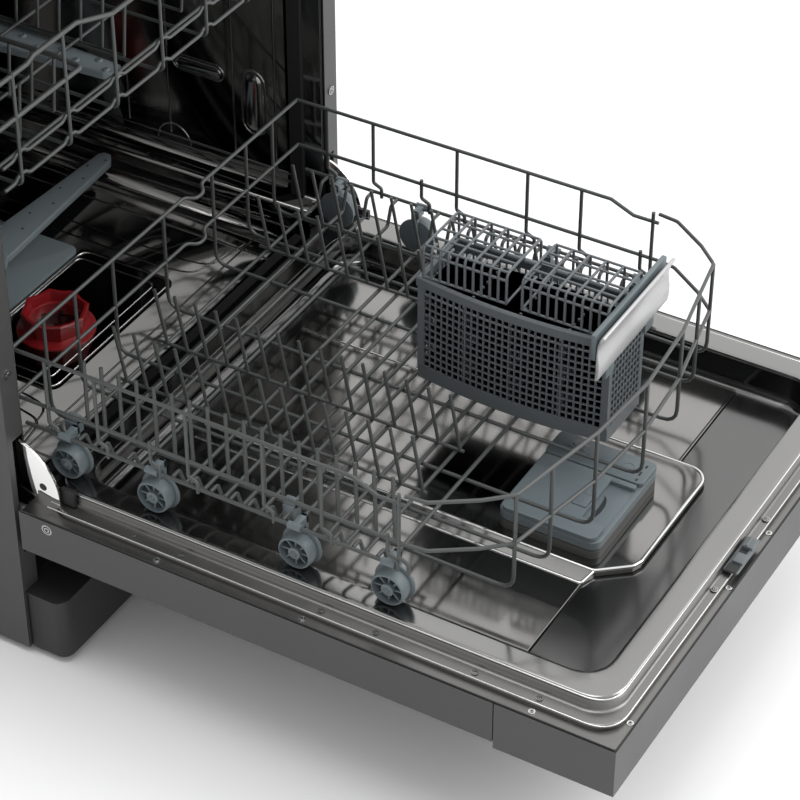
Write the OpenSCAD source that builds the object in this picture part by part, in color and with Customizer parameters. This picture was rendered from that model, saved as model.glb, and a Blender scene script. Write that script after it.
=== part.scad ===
/* [Cabinet] */
// Width over the side panels
cabinet_w = 598; // [580:2:620]
// Depth from the front posts to the back panel
cabinet_d = 552; // [540:2:600]
// Height from the floor to the top face of the worktop
cabinet_h = 850; // [846:2:890]
// Thickness of the worktop
worktop_t = 34; // [20:2:40]
// Reach of the worktop in front of the posts
worktop_reach = 48; // [40:2:60]
// Gap between the floor and the side panels
foot_gap = 8; // [5:1:20]
// Thickness of the outer sheets
sheet_t = 1.5; // [1:0.1:2]
// Width of the folded front flange of a side panel
post_w = 23.5; // [20:0.5:24]
/* [Tub] */
// From the outer face of a side panel to the inner tub wall
tub_gap = 28; // [27:0.5:34]
// Depth of the reveal between the posts and the tub
reveal_d = 62; // [50:1:80]
// Thickness of the stainless sheets of the tub and door
skin_t = 1.2; // [0.8:0.1:1.5]
// Height of the ledge that the rack wheels roll on
ledge_z = 210; // [200:1:215]
// Width of that ledge
ledge_w = 28; // [26:0.5:30]
// Height of the tub floor in the middle
floor_z = 168; // [160:1:172]
// Gap between the tub ceiling and the worktop
head_room = 21; // [18:1:36]
/* [Door] */
// Length of the door from its hinge end to its tip
door_l = 639; // [620:1:640]
// From the outer face to the top of the panel edge
door_t = 47.6; // [44:0.2:50]
// From the panel edge up to the ledge of the liner
liner_rise = 21.7; // [20:0.1:24]
// Length of the console at the tip of the door
console_l = 121; // [110:1:130]
// Step by which the console stands proud of the outer panel
console_step = 7.1; // [4:0.1:10]
// From the ledge of the liner down to its recess
recess_d = 38; // [34:1:40]
// Distance of the hinge axis in front of the posts
hinge_set = 19; // [19:0.1:24]
// Distance of the hinge axis below the ledge
hinge_drop = 30.7; // [30:0.1:33]
/* [Lower rack] */
// Travel of the lower rack from the open door into the tub
rack_travel = 506; // [480:1:510]
// Thickness of the rack wires
wire_d = 4.5; // [3.5:0.1:5]
// From the tub wall to the centre of the side rails
rack_gap = 18; // [16:0.5:22]
// Height of the top rail
rack_top = 344; // [330:1:350]
// Height of the floor wires of the rack
rack_floor_z = 237; // [235:0.5:240]
// Rolling radius of a rack wheel
wheel_r = 18; // [17:0.5:19]
// Width of the tread of a rack wheel
wheel_w = 14; // [12:0.5:15]
/* [Cutlery basket] */
// Length of the basket
basket_l = 208; // [200:1:215]
// Width of the basket
basket_w = 70; // [66:1:76]
// Height of the basket to its rim
basket_h = 121; // [110:1:130]
// Height of the lid cages over the rim
lid_h = 37; // [30:1:40]
// Wall of the moulded basket
basket_wall = 2.4; // [2:0.1:3]
// Length of the handle bar
handle_l = 149; // [130:1:155]
/* [Upper rack] */
// Height of the upper rack's top rail
upper_top = 624; // [610:1:630]
// Height of the upper rack's floor wires
upper_floor_z = 508; // [504:1:512]
/* [Spray arms] */
// Gap between the upper rack and the feed duct behind it
upper_behind = 29.6; // [27:0.2:34]
// Gap from the tip of the lower spray arm to the ledge
lower_arm_gap = 8; // [7:0.5:20]
// Reach of the upper spray arm
upper_arm_r = 200; // [180:1:210]
// Thickness of a spray arm
arm_t = 9; // [8:0.5:10]

/* [Hidden] */

// Clearance between faces of neighbouring pieces
fit = 0.5;
// Clearance between pieces that turn or slide on each other
run = 0.3;
// Clearance of a shaft in its hole
turn = 0.1;
// Overrun of every cut
over = 1;

// Places that most pieces share
half_w = cabinet_w / 2;
door_gap = 5;
door_tip = door_gap + door_l;
frame_shift = (door_tip - cabinet_d) / 2;
worktop_z = cabinet_h - worktop_t;
ceiling_z = worktop_z - head_room;
tub_x = half_w - tub_gap;
reveal_x = half_w - post_w - sheet_t;
tub_back = cabinet_d - 3 * sheet_t - 2 * skin_t - fit;
ledge_x = tub_x - ledge_w;
ledge_front = 22;
duct_t = 11;
upper_front = 20;
upper_back = tub_back - duct_t - upper_behind;
upper_l = upper_back - upper_front;
arm_y = upper_front + upper_l / 2;

// Colours of the finishes
dark_grey = "#4a4b4a";
plastic_grey = "#5d676b";
wire_grey = "#4a4c4a";
steel = "#8a8b8b";
black = "#1c1c1e";
light_grey = "#bdbdbd";
red = "#6a1418";

// Moves a piece from the front plane of the posts to the middle of the whole outline
module placed() translate([0, frame_shift, 0]) children();

// Block between two corners
module block(a, b) translate(a) cube(b - a);

// Both sides of the machine
module both_sides() { children(); mirror([1, 0, 0]) children(); }

// Outline with round corners between two corner points
module round_rect(a, b, r) {
    translate([a[0] + r, a[1]]) square([b[0] - a[0] - 2 * r, b[1] - a[1]]);
    translate([a[0], a[1] + r]) square([b[0] - a[0], b[1] - a[1] - 2 * r]);
    for (x = [a[0] + r, b[0] - r], y = [a[1] + r, b[1] - r]) translate([x, y]) circle(r, $fn = 32);
}

// Plate with round corners between two heights
module plate(a, b, r, z0, z1) translate([0, 0, z0]) linear_extrude(z1 - z0) round_rect(a, b, r);

// Ring with round corners, a wall wide
module ring(a, b, r, wall, z0, z1)
    translate([0, 0, z0]) linear_extrude(z1 - z0) difference() {
        round_rect(a, b, r);
        round_rect(a + [wall, wall], b - [wall, wall], max(r - wall, wall));
    }

// Cylinder along X and along Y, from a start point
module rod_x(p, l, r, n = 32) translate(p) rotate([0, 90, 0]) cylinder(l, r, r, $fn = n);
module rod_y(p, l, r, n = 32) translate(p) rotate([-90, 0, 0]) cylinder(l, r, r, $fn = n);
module rod_z(p, l, r, n = 32) translate(p) cylinder(l, r, r, $fn = n);

// Outline of a bent wire along a list of points
function unit(v) = v / norm(v);
function turned(v) = [-v[1], v[0]];
function bend(p, i) =
    i == 0 ? turned(unit(p[1] - p[0]))
    : i == len(p) - 1 ? turned(unit(p[i] - p[i - 1]))
    : let (n1 = turned(unit(p[i] - p[i - 1])),
           n2 = turned(unit(p[i + 1] - p[i]))) (n1 + n2) / (1 + n1 * n2);
function edge(p, h) = [for (i = [0 : len(p) - 1]) p[i] + h * bend(p, i)];
function backwards(p) = [for (i = [len(p) - 1 : -1 : 0]) p[i]];
module bent(p, d) polygon(concat(edge(p, d / 2), backwards(edge(p, -d / 2))));

// Wires of one thickness that lie flat in a plane: from above, from the front and from the side
module flat(z, d = wire_d) translate([0, 0, z]) linear_extrude(d, center = true) children();
module upright_x(y, d = wire_d) translate([0, y, 0]) rotate([90, 0, 0]) linear_extrude(d, center = true)
    children();
module upright_y(x, d = wire_d) translate([x, 0, 0]) rotate([90, 0, 90]) linear_extrude(d, center = true)
    children();

// Base tray that carries the machine, with the dark front wall under the door
tray_z = 22;
tray_t = 3;
tray_wall = 16;
tray_in = 3;
shelf_z = 81;
shelf_y = 6;
shelf_back = 87;
shelf_in = 12;
shelf_x = reveal_x - shelf_in;
foot_r = 18;
foot_stem_r = 5;
foot_front_y = 45;
foot_in = 42;
foot_back_y = cabinet_d - foot_front_y;
module foot_places() for (s = [-1, 1], y = [foot_front_y, foot_back_y])
    translate([s * (half_w - foot_in), y, 0]) children();
module base_tray() placed() color(black) difference() {
    union() {
        block([-half_w + sheet_t + fit, tray_in, tray_z],
              [half_w - sheet_t - fit, cabinet_d - tray_in, tray_z + tray_t]);
        for (s = [-1, 1])
            translate([s * (half_w - sheet_t - fit - tray_t / 2), cabinet_d / 2, tray_z + tray_wall / 2])
                cube([tray_t, cabinet_d - 2 * tray_in, tray_wall], center = true);
        block([-shelf_x, shelf_y, tray_z], [shelf_x, shelf_y + tray_t, shelf_z]);
        block([-shelf_x, shelf_y, shelf_z - tray_t], [shelf_x, shelf_back, shelf_z]);
        block([-shelf_x, shelf_back - tray_t, shelf_z - tray_t],
              [shelf_x, shelf_back, floor_z - 2 * skin_t]);
        foot_places() rod_z([0, 0, tray_z], tray_wall, 2 * foot_stem_r);
    }
    foot_places() rod_z([0, 0, tray_z - over], tray_wall + 2 * over, foot_stem_r + run);
}
foot_pad_h = tray_z - foot_gap;
module levelling_feet() placed() color(black) foot_places() {
    rod_z([0, 0, 0], foot_gap, foot_r);
    rod_z([0, 0, foot_gap], foot_pad_h + tray_wall, foot_stem_r);
}

// Kickplate with round front corners
kick_front = 43.8;
kick_top = 77;
kick_r = 12;
kick_t = 2.5;
kick_in = 4;
kick_back = 2;
module kickplate() placed() color(dark_grey) {
    difference() {
        ring([-half_w + kick_in, -kick_front], [half_w - kick_in, kick_front], kick_r, kick_t, foot_gap,
             kick_top);
        block([-half_w, -kick_back, 0], [half_w, kick_front + over, kick_top + over]);
    }
    difference() {
        plate([-half_w + kick_in, -kick_front], [half_w - kick_in, kick_front], kick_r, kick_top,
              kick_top + kick_t);
        block([-half_w, -kick_back, 0], [half_w, kick_front + over, kick_top + 2 * kick_t]);
    }
}

// Side panel with its folded front flange, notched where the door's ear passes
ear_gap = 6;
ear_x = reveal_x + ear_gap;
ear_t = 3;
notch_z0 = 128;
notch_z1 = 266;
notch_w = 17;
module side_panel() difference() {
    union() {
        block([half_w - sheet_t, 0, foot_gap], [half_w, cabinet_d - sheet_t - fit, worktop_z]);
        block([half_w - post_w, 0, foot_gap], [half_w - sheet_t, sheet_t, worktop_z]);
    }
    block([reveal_x, -over, notch_z0], [reveal_x + notch_w, sheet_t + over, notch_z1]);
}
module side_panel_right() placed() color(dark_grey) side_panel();
module side_panel_left() placed() color(dark_grey) mirror([1, 0, 0]) side_panel();

// Back panel with the opening for the water connections
port_x = 165;
port_w = 116;
port_z = 42;
port_h = 76;
port_r = 10;
module back_panel() placed() color(steel) difference() {
    block([-half_w + fit, cabinet_d - sheet_t, foot_gap], [half_w - fit, cabinet_d, worktop_z]);
    translate([port_x, cabinet_d, port_z + port_h / 2]) rotate([90, 0, 0])
        linear_extrude(6 * sheet_t, center = true)
            round_rect([-port_w / 2, -port_h / 2], [port_w / 2, port_h / 2], port_r);
}

// Worktop with round front corners
worktop_r = 6;
module worktop() placed() color(dark_grey)
    plate([-half_w, -worktop_reach], [half_w, cabinet_d], worktop_r, worktop_z, cabinet_h);

// Front frame: the dark reveal between the posts and the tub, with the sill below it
sill_z = 176;
sill_front = 10;
sill_h = 24;
head_z = ceiling_z + skin_t;
frame_t = 1.5;
head_notch_d = 12;
head_notch_w = 84;
module front_frame() placed() color(black) {
    both_sides() block([reveal_x - frame_t, sheet_t + fit, sill_z],
                       [reveal_x, reveal_d, worktop_z - fit]);
    difference() {
        union() {
            block([-reveal_x + frame_t, 0, head_z], [reveal_x - frame_t, reveal_d, head_z + frame_t]);
            block([-reveal_x + frame_t, 0, head_z + frame_t],
                  [reveal_x - frame_t, frame_t, worktop_z - fit]);
        }
        block([latch_x - head_notch_w / 2, -over, head_z - over],
              [latch_x + head_notch_w / 2, head_notch_d, worktop_z - 3 * fit]);
    }
    block([-reveal_x + frame_t, sill_front, sill_z - sill_h],
          [reveal_x - frame_t, sill_front + frame_t, sill_z]);
    block([-reveal_x + frame_t, sill_front, sill_z],
          [reveal_x - frame_t, ledge_front - fit, sill_z + frame_t]);
}

// Tub wrap: two side walls, ceiling and back wall
module tub_wrap() placed() color(steel) {
    both_sides() block([tub_x, reveal_d + fit, ledge_z], [tub_x + skin_t, tub_back, ceiling_z + skin_t]);
    block([-tub_x, reveal_d + fit, ceiling_z], [tub_x, tub_back, ceiling_z + skin_t]);
    block([-tub_x - skin_t, tub_back, ledge_z], [tub_x + skin_t, tub_back + skin_t, ceiling_z + skin_t]);
}

// Tub floor: wheel ledges at the sides and a lower middle with the sump opening
well_x = 112;
well_in = 70;
well_behind = 74;
well_front = ledge_front + well_in;
well_back = arm_y + well_behind;
well_r = 24;
module tub_floor() placed() color(steel) {
    both_sides() {
        block([ledge_x, ledge_front, ledge_z - skin_t], [tub_x - fit, tub_back - fit, ledge_z]);
        block([ledge_x, ledge_front, floor_z], [ledge_x + skin_t, tub_back - fit, ledge_z - skin_t]);
    }
    block([-ledge_x, tub_back - fit - skin_t, floor_z], [ledge_x, tub_back - fit, ledge_z]);
    block([-ledge_x, ledge_front, floor_z], [ledge_x, ledge_front + skin_t, sill_z + frame_t]);
    difference() {
        block([-ledge_x - skin_t, ledge_front, floor_z - skin_t],
              [ledge_x + skin_t, tub_back - fit, floor_z]);
        translate([0, 0, floor_z - 2 * skin_t]) linear_extrude(4 * skin_t)
            round_rect([-well_x, well_front], [well_x, well_back], well_r);
    }
}

// Door gasket round the top and sides of the reveal
gasket_y = 24;
gasket_w = 16;
gasket_t = 7;
module door_gasket() placed() color(black) {
    both_sides() block([reveal_x - frame_t - gasket_t, gasket_y, ledge_z + fit],
                       [reveal_x - frame_t, gasket_y + gasket_w, ceiling_z]);
    block([-reveal_x + frame_t, gasket_y, ceiling_z + skin_t - gasket_t],
          [reveal_x - frame_t, gasket_y + gasket_w, head_z]);
}

// Channel rails of the upper rack on both tub walls
rail_z = 592;
rail_h = 20;
rail_w = 11;
rail_t = 1.5;
rail_in = 4;
rail_front = reveal_d + rail_in;
module upper_rack_rails() placed() color(steel) both_sides()
    translate([0, rail_front, 0]) rotate([90, 0, 0]) mirror([0, 0, 1])
        linear_extrude(tub_back - rail_front - 4 * fit)
        difference() {
            translate([tub_x - rail_w, rail_z - rail_h / 2]) square([rail_w, rail_h]);
            translate([tub_x - rail_w - over, rail_z - rail_h / 2 + rail_t])
                square([rail_w + over - rail_t, rail_h - 2 * rail_t]);
        }

// Sump bowl under the tub floor, with the spigot that the lower arm turns on
cup_x = -22;
cup_in = 60;
cup_y = well_front + cup_in;
cup_flange_r = 50;
cup_r = 33.5;
sump_wall = 4;
sump_depth = 92;
sump_r = 30;
spigot_r = 9;
arm_rise = 35;
arm_z = floor_z + arm_rise;
module sump() placed() color(black) {
    difference() {
        plate([-well_x + 2 * sump_wall, well_front + 2 * sump_wall],
              [well_x - 2 * sump_wall, well_back - 2 * sump_wall],
              sump_r, floor_z - sump_depth, floor_z - skin_t);
        plate([-well_x + 3 * sump_wall, well_front + 3 * sump_wall],
              [well_x - 3 * sump_wall, well_back - 3 * sump_wall],
              sump_r - sump_wall, floor_z - sump_depth + sump_wall, floor_z);
    }
    rod_z([0, arm_y, floor_z - sump_depth + sump_wall],
          arm_z + arm_t / 2 - floor_z + sump_depth - sump_wall, spigot_r);
}

// Filter plate over the sump, stepped up round the spray arm
filter_t = 1.6;
filter_step = 5;
cup_to_step = 11;
filter_step_y = cup_y + cup_flange_r + cup_to_step;
module filter_plate() placed() color(steel) difference() {
    union() {
        plate([-well_x - sump_wall, well_front - sump_wall], [well_x + sump_wall, well_back + sump_wall],
              well_r + sump_wall,
              floor_z, floor_z + filter_t);
        plate([-well_x + sump_wall, filter_step_y], [well_x - sump_wall, well_back - sump_wall],
              well_r - sump_wall,
              floor_z + filter_t, floor_z + filter_step);
    }
    rod_z([0, arm_y, floor_z - over], filter_step + 2 * over, spigot_r + run);
    rod_z([cup_x, cup_y, floor_z - over], filter_t + 2 * over, cup_r + 2 * fit);
}

// Filter cup that turns in the filter plate: flange, octagonal grip rim and a slotted strainer
cup_rise = 28;
cup_top = floor_z + cup_rise;
cup_depth = 58;
cup_wall = 2;
cup_slots = 12;
cup_slot_w = 8;
cup_slot_h = 32;
module filter_cup() placed() color(red) translate([cup_x, cup_y, 0]) {
    difference() {
        union() {
            rod_z([0, 0, floor_z + filter_t + run], 2 * filter_t, cup_flange_r);
            rod_z([0, 0, floor_z - cup_depth], cup_depth + filter_t + 3 * run, cup_r);
            translate([0, 0, floor_z + 2 * filter_t]) rotate(360 / 16)
                cylinder(cup_top - floor_z - 2 * filter_t, cup_r, cup_r, $fn = 8);
        }
        rod_z([0, 0, floor_z - cup_depth + cup_wall], cup_depth + cup_top - floor_z,
              cup_r - 2 * cup_wall);
        for (i = [0 : cup_slots / 2 - 1]) rotate(i * 360 / cup_slots)
            translate([0, 0, floor_z - cup_depth / 2])
                cube([3 * cup_r, cup_slot_w, cup_slot_h], center = true);
    }
}

// Circulation pump: motor can, impeller housing and outlet
pump_x = -20;
pump_behind = 76;
pump_y = well_back + pump_behind;
pump_z = 88;
pump_r = 44;
pump_l = 130;
housing_r = 52;
housing_l = 42;
outlet_r = 14;
module circulation_pump() placed() color(black) {
    rod_x([pump_x, pump_y, pump_z], pump_l, pump_r);
    rod_x([pump_x - housing_l, pump_y, pump_z], housing_l, housing_r);
    rod_z([pump_x - housing_l / 2, pump_y, pump_z], floor_z - pump_z - 2 * skin_t, outlet_r);
    block([pump_x, pump_y - pump_r / 2, tray_z + tray_t],
          [pump_x + pump_l / 2, pump_y + pump_r / 2, pump_z - pump_r / 2]);
}

// Drain pump with its outlet
drain_x = 150;
drain_y = 240;
drain_z = 80;
drain_r = 30;
drain_l = 78;
module drain_pump() placed() color(black) {
    rod_x([drain_x, drain_y, drain_z], drain_l, drain_r);
    rod_y([drain_x + drain_l / 2, drain_y, drain_z], 3 * drain_r, outlet_r);
    block([drain_x, drain_y - drain_r / 2, tray_z + tray_t],
          [drain_x + drain_l, drain_y + drain_r / 2, drain_z - drain_r / 2]);
}

// Softener tank
tank_in = 64;
tank_x = -half_w + tank_in;
tank_w = 105;
tank_l = 150;
tank_gap = 30;
tank_y = cabinet_d - tank_gap - tank_l;
tank_r = 18;
module softener_tank() placed() color(light_grey)
    plate([tank_x, tank_y], [tank_x + tank_w, tank_y + tank_l], tank_r, tray_z + tray_t,
          floor_z - 2 * skin_t);

// Inlet valve with its threaded spigot, and the drain spigot beside it
valve_in = 159;
valve_x = half_w - valve_in;
spigot_gap = 52;
valve_z = 80;
valve_w = 44;
valve_l = 62;
inlet_r = 13.2;
inlet_l = 18;
bore_r = 6;
drain_spigot_r = 10.5;
spigot_end = cabinet_d - fit;
module inlet_valve() placed() color(light_grey) difference() {
    union() {
        block([valve_x - valve_w / 2, spigot_end - inlet_l - valve_l, tray_z + tray_t],
              [valve_x + spigot_gap + valve_w / 2, spigot_end - inlet_l, valve_z + valve_w / 2]);
        rod_y([valve_x, spigot_end - inlet_l, valve_z], inlet_l, inlet_r);
        rod_y([valve_x + spigot_gap, spigot_end - inlet_l, valve_z], inlet_l, drain_spigot_r);
    }
    rod_y([valve_x, spigot_end - inlet_l, valve_z], inlet_l + over, bore_r);
    rod_y([valve_x + spigot_gap, spigot_end - inlet_l, valve_z], inlet_l + over, bore_r);
}

// Feed duct up the back wall with the port of the upper arm and the ceiling sprayer
duct_w = 58;
duct_r = 5;
port_tube_r = 11;
port_tube_l = 14;
upper_arm_drop = 12;
upper_arm_z = upper_floor_z - upper_arm_drop;
feed_rise = 22;
feed_z = upper_arm_z + feed_rise;
sprayer_r = 42;
sprayer_t = 9;
module feed_duct() placed() color(plastic_grey) {
    plate([-duct_w / 2, tub_back - duct_t], [duct_w / 2, tub_back - fit], duct_r, ledge_z + fit,
          ceiling_z - fit);
    plate([-duct_w / 2, arm_y], [duct_w / 2, tub_back - duct_t], duct_r, ceiling_z - fit - duct_t,
          ceiling_z - fit);
    rod_z([0, arm_y, ceiling_z - fit - duct_t - sprayer_t], sprayer_t, sprayer_r);
    difference() {
        rod_y([0, tub_back - duct_t - port_tube_l, feed_z], port_tube_l, port_tube_r);
        rod_y([0, tub_back - duct_t - port_tube_l - over, feed_z], port_tube_l + over, bore_r);
    }
}

// Latch strike on the head of the front frame
latch_x = -8;
strike_w = 35;
strike_l = 14;
strike_h = 12;
strike_y = head_notch_d + fit;
strike_z = head_z + frame_t;
module latch_strike() placed() color(light_grey) difference() {
    block([latch_x - strike_w / 2, strike_y, strike_z],
          [latch_x + strike_w / 2, strike_y + strike_l, strike_z + strike_h]);
    block([latch_x - strike_w / 4, strike_y - over, strike_z + strike_h / 4],
          [latch_x + strike_w / 4, strike_y + strike_l / 2, strike_z + strike_h * 3 / 4]);
}

// Screws in the front posts
post_screw_z = 344;
screw_r = 5;
screw_t = 1.6;
post_screw_x = half_w - post_w / 2;
module screw_y(p) rod_y([p[0], p[1] - screw_t, p[2]], screw_t, screw_r, 24);
module cabinet_screws() placed() color(steel) both_sides()
    for (z = [post_screw_z, worktop_z - post_w, foot_gap + post_w]) screw_y([post_screw_x, 0, z]);

// Brackets that hold the door's hinge pins, with the two door springs behind them
pivot_y = -hinge_set;
pivot_z = ledge_z - hinge_drop;
pin_r = 5;
bracket_in = 12;
bracket_x = half_w - bracket_in;
bracket_t = 3;
bracket_nose = 9;
bracket_back = 70;
spring_r = 6;
spring_y = 88;
spring_z0 = 44;
spring_h = 96;
module hinge_brackets() placed() color(steel) both_sides() {
    difference() {
        union() {
            block([bracket_x, pivot_y - bracket_nose, pivot_z - bracket_nose],
                  [bracket_x + bracket_t, shelf_y, pivot_z + bracket_nose]);
            block([bracket_x, shelf_y, tray_z + tray_wall + fit],
                  [bracket_x + bracket_t, bracket_back, pivot_z + bracket_nose]);
        }
        rod_x([bracket_x - over, pivot_y, pivot_z], bracket_t + 2 * over, pin_r + turn);
    }
    rod_z([bracket_x, spring_y, spring_z0], spring_h, spring_r);
    block([bracket_x, bracket_back, spring_z0 + spring_h],
          [bracket_x + bracket_t, spring_y + spring_r, spring_z0 + spring_h + spring_r]);
}

// Door, open: the outer panel faces down, with a skirt behind the hinge
door_z = ledge_z - liner_rise - door_t;
panel_top = ledge_z - liner_rise;
console_y = -door_tip + console_l;
skirt_in = 44;
skirt_x = half_w - skirt_in;
skirt_l = 70;
slot_x = bracket_x - 3 * ear_t / 2;
slot_y = 34;
side_screw_y = -36.8;
side_screw_drop = 10.5;
side_screw_z = panel_top - side_screw_drop;
side_screw_r = 6;
module side_screw_hole(x0, x1, r) rod_x([x0, side_screw_y, side_screw_z], x1 - x0, r);
module door_outer_panel() placed() color(dark_grey) difference() {
    union() {
        block([-half_w, console_y + fit, door_z], [half_w, -door_gap, door_z + sheet_t]);
        both_sides() block([half_w - sheet_t, console_y + fit, door_z], [half_w, -door_gap, panel_top]);
        block([-half_w, -door_gap - sheet_t, door_z], [half_w, -door_gap, panel_top]);
        block([-skirt_x, -door_gap, door_z], [skirt_x, skirt_l, door_z + sheet_t]);
    }
    both_sides() {
        block([slot_x, -door_gap - 2 * sheet_t, door_z + 4 * sheet_t],
              [half_w - 2 * sheet_t, 0, panel_top + over]);
        block([ear_x - ear_t / 2 - run, -door_gap - 2 * sheet_t, flange_z - leg_t - run],
              [ear_x + ear_t / 2 + run, 0, panel_top + over]);
        side_screw_hole(half_w - 2 * sheet_t, half_w + over, side_screw_r + run);
    }
}

// Console at the door's tip, a moulded shell with a grip pocket and button holes in its outer face
console_t = 2.5;
console_z = door_z - console_step;
grip_w = 170;
grip_l = 34;
grip_d = 20;
grip_in = 30;
button_r = 8;
button_in = 74;
button_y = -door_tip + button_in;
button_xs = [146, 188, 230];
module console_holes(r) for (x = button_xs)
    rod_z([x, button_y, console_z - over], console_t + 2 * over, r);
module grip(o) block([-grip_w / 2 - o, -door_tip + grip_in - o, console_z - over],
                     [grip_w / 2 + o, -door_tip + grip_in + grip_l + o, console_z + grip_d + o]);
module control_console() placed() color(dark_grey) difference() {
    union() {
        difference() {
            block([-half_w, -door_tip, console_z], [half_w, console_y - fit, panel_top]);
            block([-half_w + console_t, -door_tip + console_t, console_z + console_t],
                  [half_w - console_t, console_y - fit - console_t, panel_top + over]);
            block([-ledge_x - skin_t - fit, console_y - fit - 2 * console_t, recess_z - skin_t - fit],
                  [ledge_x + skin_t + fit, console_y, panel_top + over]);
        }
        intersection() {
            grip(console_t);
            block([-half_w, -door_tip, console_z], [half_w, console_y, panel_top]);
        }
    }
    grip(0);
    console_holes(button_r + run);
}

// Console buttons: a cap through the face and a flange behind it
button_out = 2;
button_h = 12;
button_travel = 1.5;
module console_button(i) placed() color(light_grey) translate([button_xs[i], button_y, console_z]) {
    rod_z([0, 0, -button_out], button_h, button_r);
    rod_z([0, 0, console_t + run], button_travel, button_r + 2 * button_travel);
}
module power_button() console_button(0);
module program_button() console_button(1);
module start_button() console_button(2);

// Stainless liner: a flange, a step, the rolling ledge and the recess with its plateau
flange_x = half_w - 4 * fit;
flange_z = panel_top + fit;
flange_in = 3;
step_in = 10;
step_x = half_w - step_in;
step_end = 7;
step_tip = door_tip - step_end;
step_h = 7.5;
step_z = flange_z + step_h;
rim_in = 29;
rim_x = half_w - rim_in;
rim_end = 19;
rim_tip = door_tip - rim_end;
rim_start = 25;
rim_r = 34;
recess_end = 46;
recess_tip = door_tip - recess_end;
recess_start = 42;
recess_r = 27;
recess_z = ledge_z - recess_d;
plateau_rise = 6;
plateau_x0 = -66;
plateau_x1 = 98;
plateau_end = 103;
plateau_tip = door_tip - plateau_end;
plateau_start = 76;
plateau_r = 24;
lip_drop = 5;
lip_z = ledge_z - lip_drop;
module frame_ring(x0, tip0, start0, r0, x1, tip1, start1, r1, z0, z1)
    translate([0, 0, z0]) linear_extrude(z1 - z0) difference() {
        round_rect([-x0, -tip0], [x0, -start0], r0);
        round_rect([-x1, -tip1], [x1, -start1], r1);
    }
module dispenser_hole(o, z0, z1)
    plate([disp_x0 - o, -disp_tip - o], [disp_x1 + o, -disp_start + o], disp_r + o, z0, z1);
module lip_cut(z0, z1) block([-ledge_x, -recess_start - recess_r, z0], [ledge_x, -rim_start + over, z1]);
module door_liner() placed() color(steel) {
    difference() {
        lip_cut(lip_z - skin_t, lip_z);
        block([-ledge_x - over, -rim_start - skin_t, lip_z - over - skin_t],
              [ledge_x + over, 0, lip_z + over]);
        plate([-ledge_x - skin_t, -recess_tip], [ledge_x + skin_t, -recess_start + skin_t],
              recess_r + skin_t,
              lip_z - 2 * skin_t, lip_z + over);
    }
    liner_skin();
}
module liner_skin() difference() {
    union() {
        frame_ring(flange_x, door_tip - fit, door_gap + flange_in, flange_in,
                   step_x - skin_t, step_tip - skin_t, rim_start + skin_t, rim_r, flange_z,
                       flange_z + skin_t);
        frame_ring(step_x, step_tip, rim_start, rim_r,
                   step_x - skin_t, step_tip - skin_t, rim_start + skin_t, rim_r - skin_t, flange_z,
                       step_z);
        frame_ring(step_x, step_tip, rim_start, rim_r,
                   rim_x - skin_t, rim_tip - skin_t, rim_start + skin_t, rim_r - skin_t, step_z - skin_t,
                       step_z);
        frame_ring(rim_x, rim_tip, rim_start, rim_r,
                   rim_x - skin_t, rim_tip - skin_t, rim_start + skin_t, rim_r - skin_t, step_z - skin_t,
                       ledge_z);
        frame_ring(rim_x, rim_tip, rim_start, rim_r, ledge_x, recess_tip, recess_start, recess_r,
                   ledge_z - skin_t, ledge_z);
        frame_ring(ledge_x + skin_t, recess_tip + skin_t, recess_start - skin_t, recess_r + skin_t,
                   ledge_x, recess_tip, recess_start, recess_r, recess_z, ledge_z - skin_t);
        plate([-ledge_x - skin_t, -recess_tip - skin_t], [ledge_x + skin_t, -recess_start + skin_t],
              recess_r + skin_t,
              recess_z - skin_t, recess_z);
        plate([plateau_x0, -plateau_tip], [plateau_x1, -plateau_start], plateau_r, recess_z,
              recess_z + plateau_rise);
    }
    plate([plateau_x0 + skin_t, -plateau_tip + skin_t], [plateau_x1 - skin_t, -plateau_start - skin_t],
          plateau_r - skin_t,
          recess_z - 2 * skin_t, recess_z + plateau_rise - skin_t);
    dispenser_hole(run, recess_z - 2 * skin_t, recess_z + plateau_rise + over);
    both_sides() {
        block([slot_x, -slot_y, flange_z - over], [half_w, 0, flange_z + skin_t + over]);
        block([ear_x - ear_t / 2 - run, ear_y0 - run, flange_z - over],
              [ear_x + ear_t / 2 + run, 0, step_z + over]);
    }
    lip_cut(lip_z, ledge_z + over);
}

// Latch on the end wall of the liner
latch_w = 78;
latch_l = 13;
latch_h = 10;
hook_w = 16;
hook_l = 2.5;
module door_latch() placed() color(plastic_grey) {
    block([latch_x - latch_w / 2, -step_tip - 2 * hook_l, step_z + fit],
          [latch_x + latch_w / 2, -rim_tip - fit, step_z + fit + latch_h]);
    block([latch_x - hook_w / 2, -step_tip - 3 * hook_l + fit, step_z + 2 * hook_l],
          [latch_x + hook_w / 2, -step_tip - 2 * hook_l, step_z + latch_h]);
}

// Rubber lip along the hinge end of the liner, with the thicker end pieces
lip_in = 8;
lip_x = rim_x - lip_in;
lip_t = 5;
lip_h = 16;
end_piece_x = rim_x + 3 * fit;
end_piece_w = 4;
end_piece_y0 = -55;
end_piece_y1 = -40;
end_piece_z0 = step_z + fit;
module door_lip_seal() placed() color(black) {
    block([-lip_x, -rim_start + fit, flange_z + skin_t],
          [lip_x, -rim_start + fit + lip_t, flange_z + skin_t + lip_h]);
    both_sides() block([end_piece_x, end_piece_y0, end_piece_z0],
                       [end_piece_x + end_piece_w, end_piece_y1, ledge_z + lip_t]);
}

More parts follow.
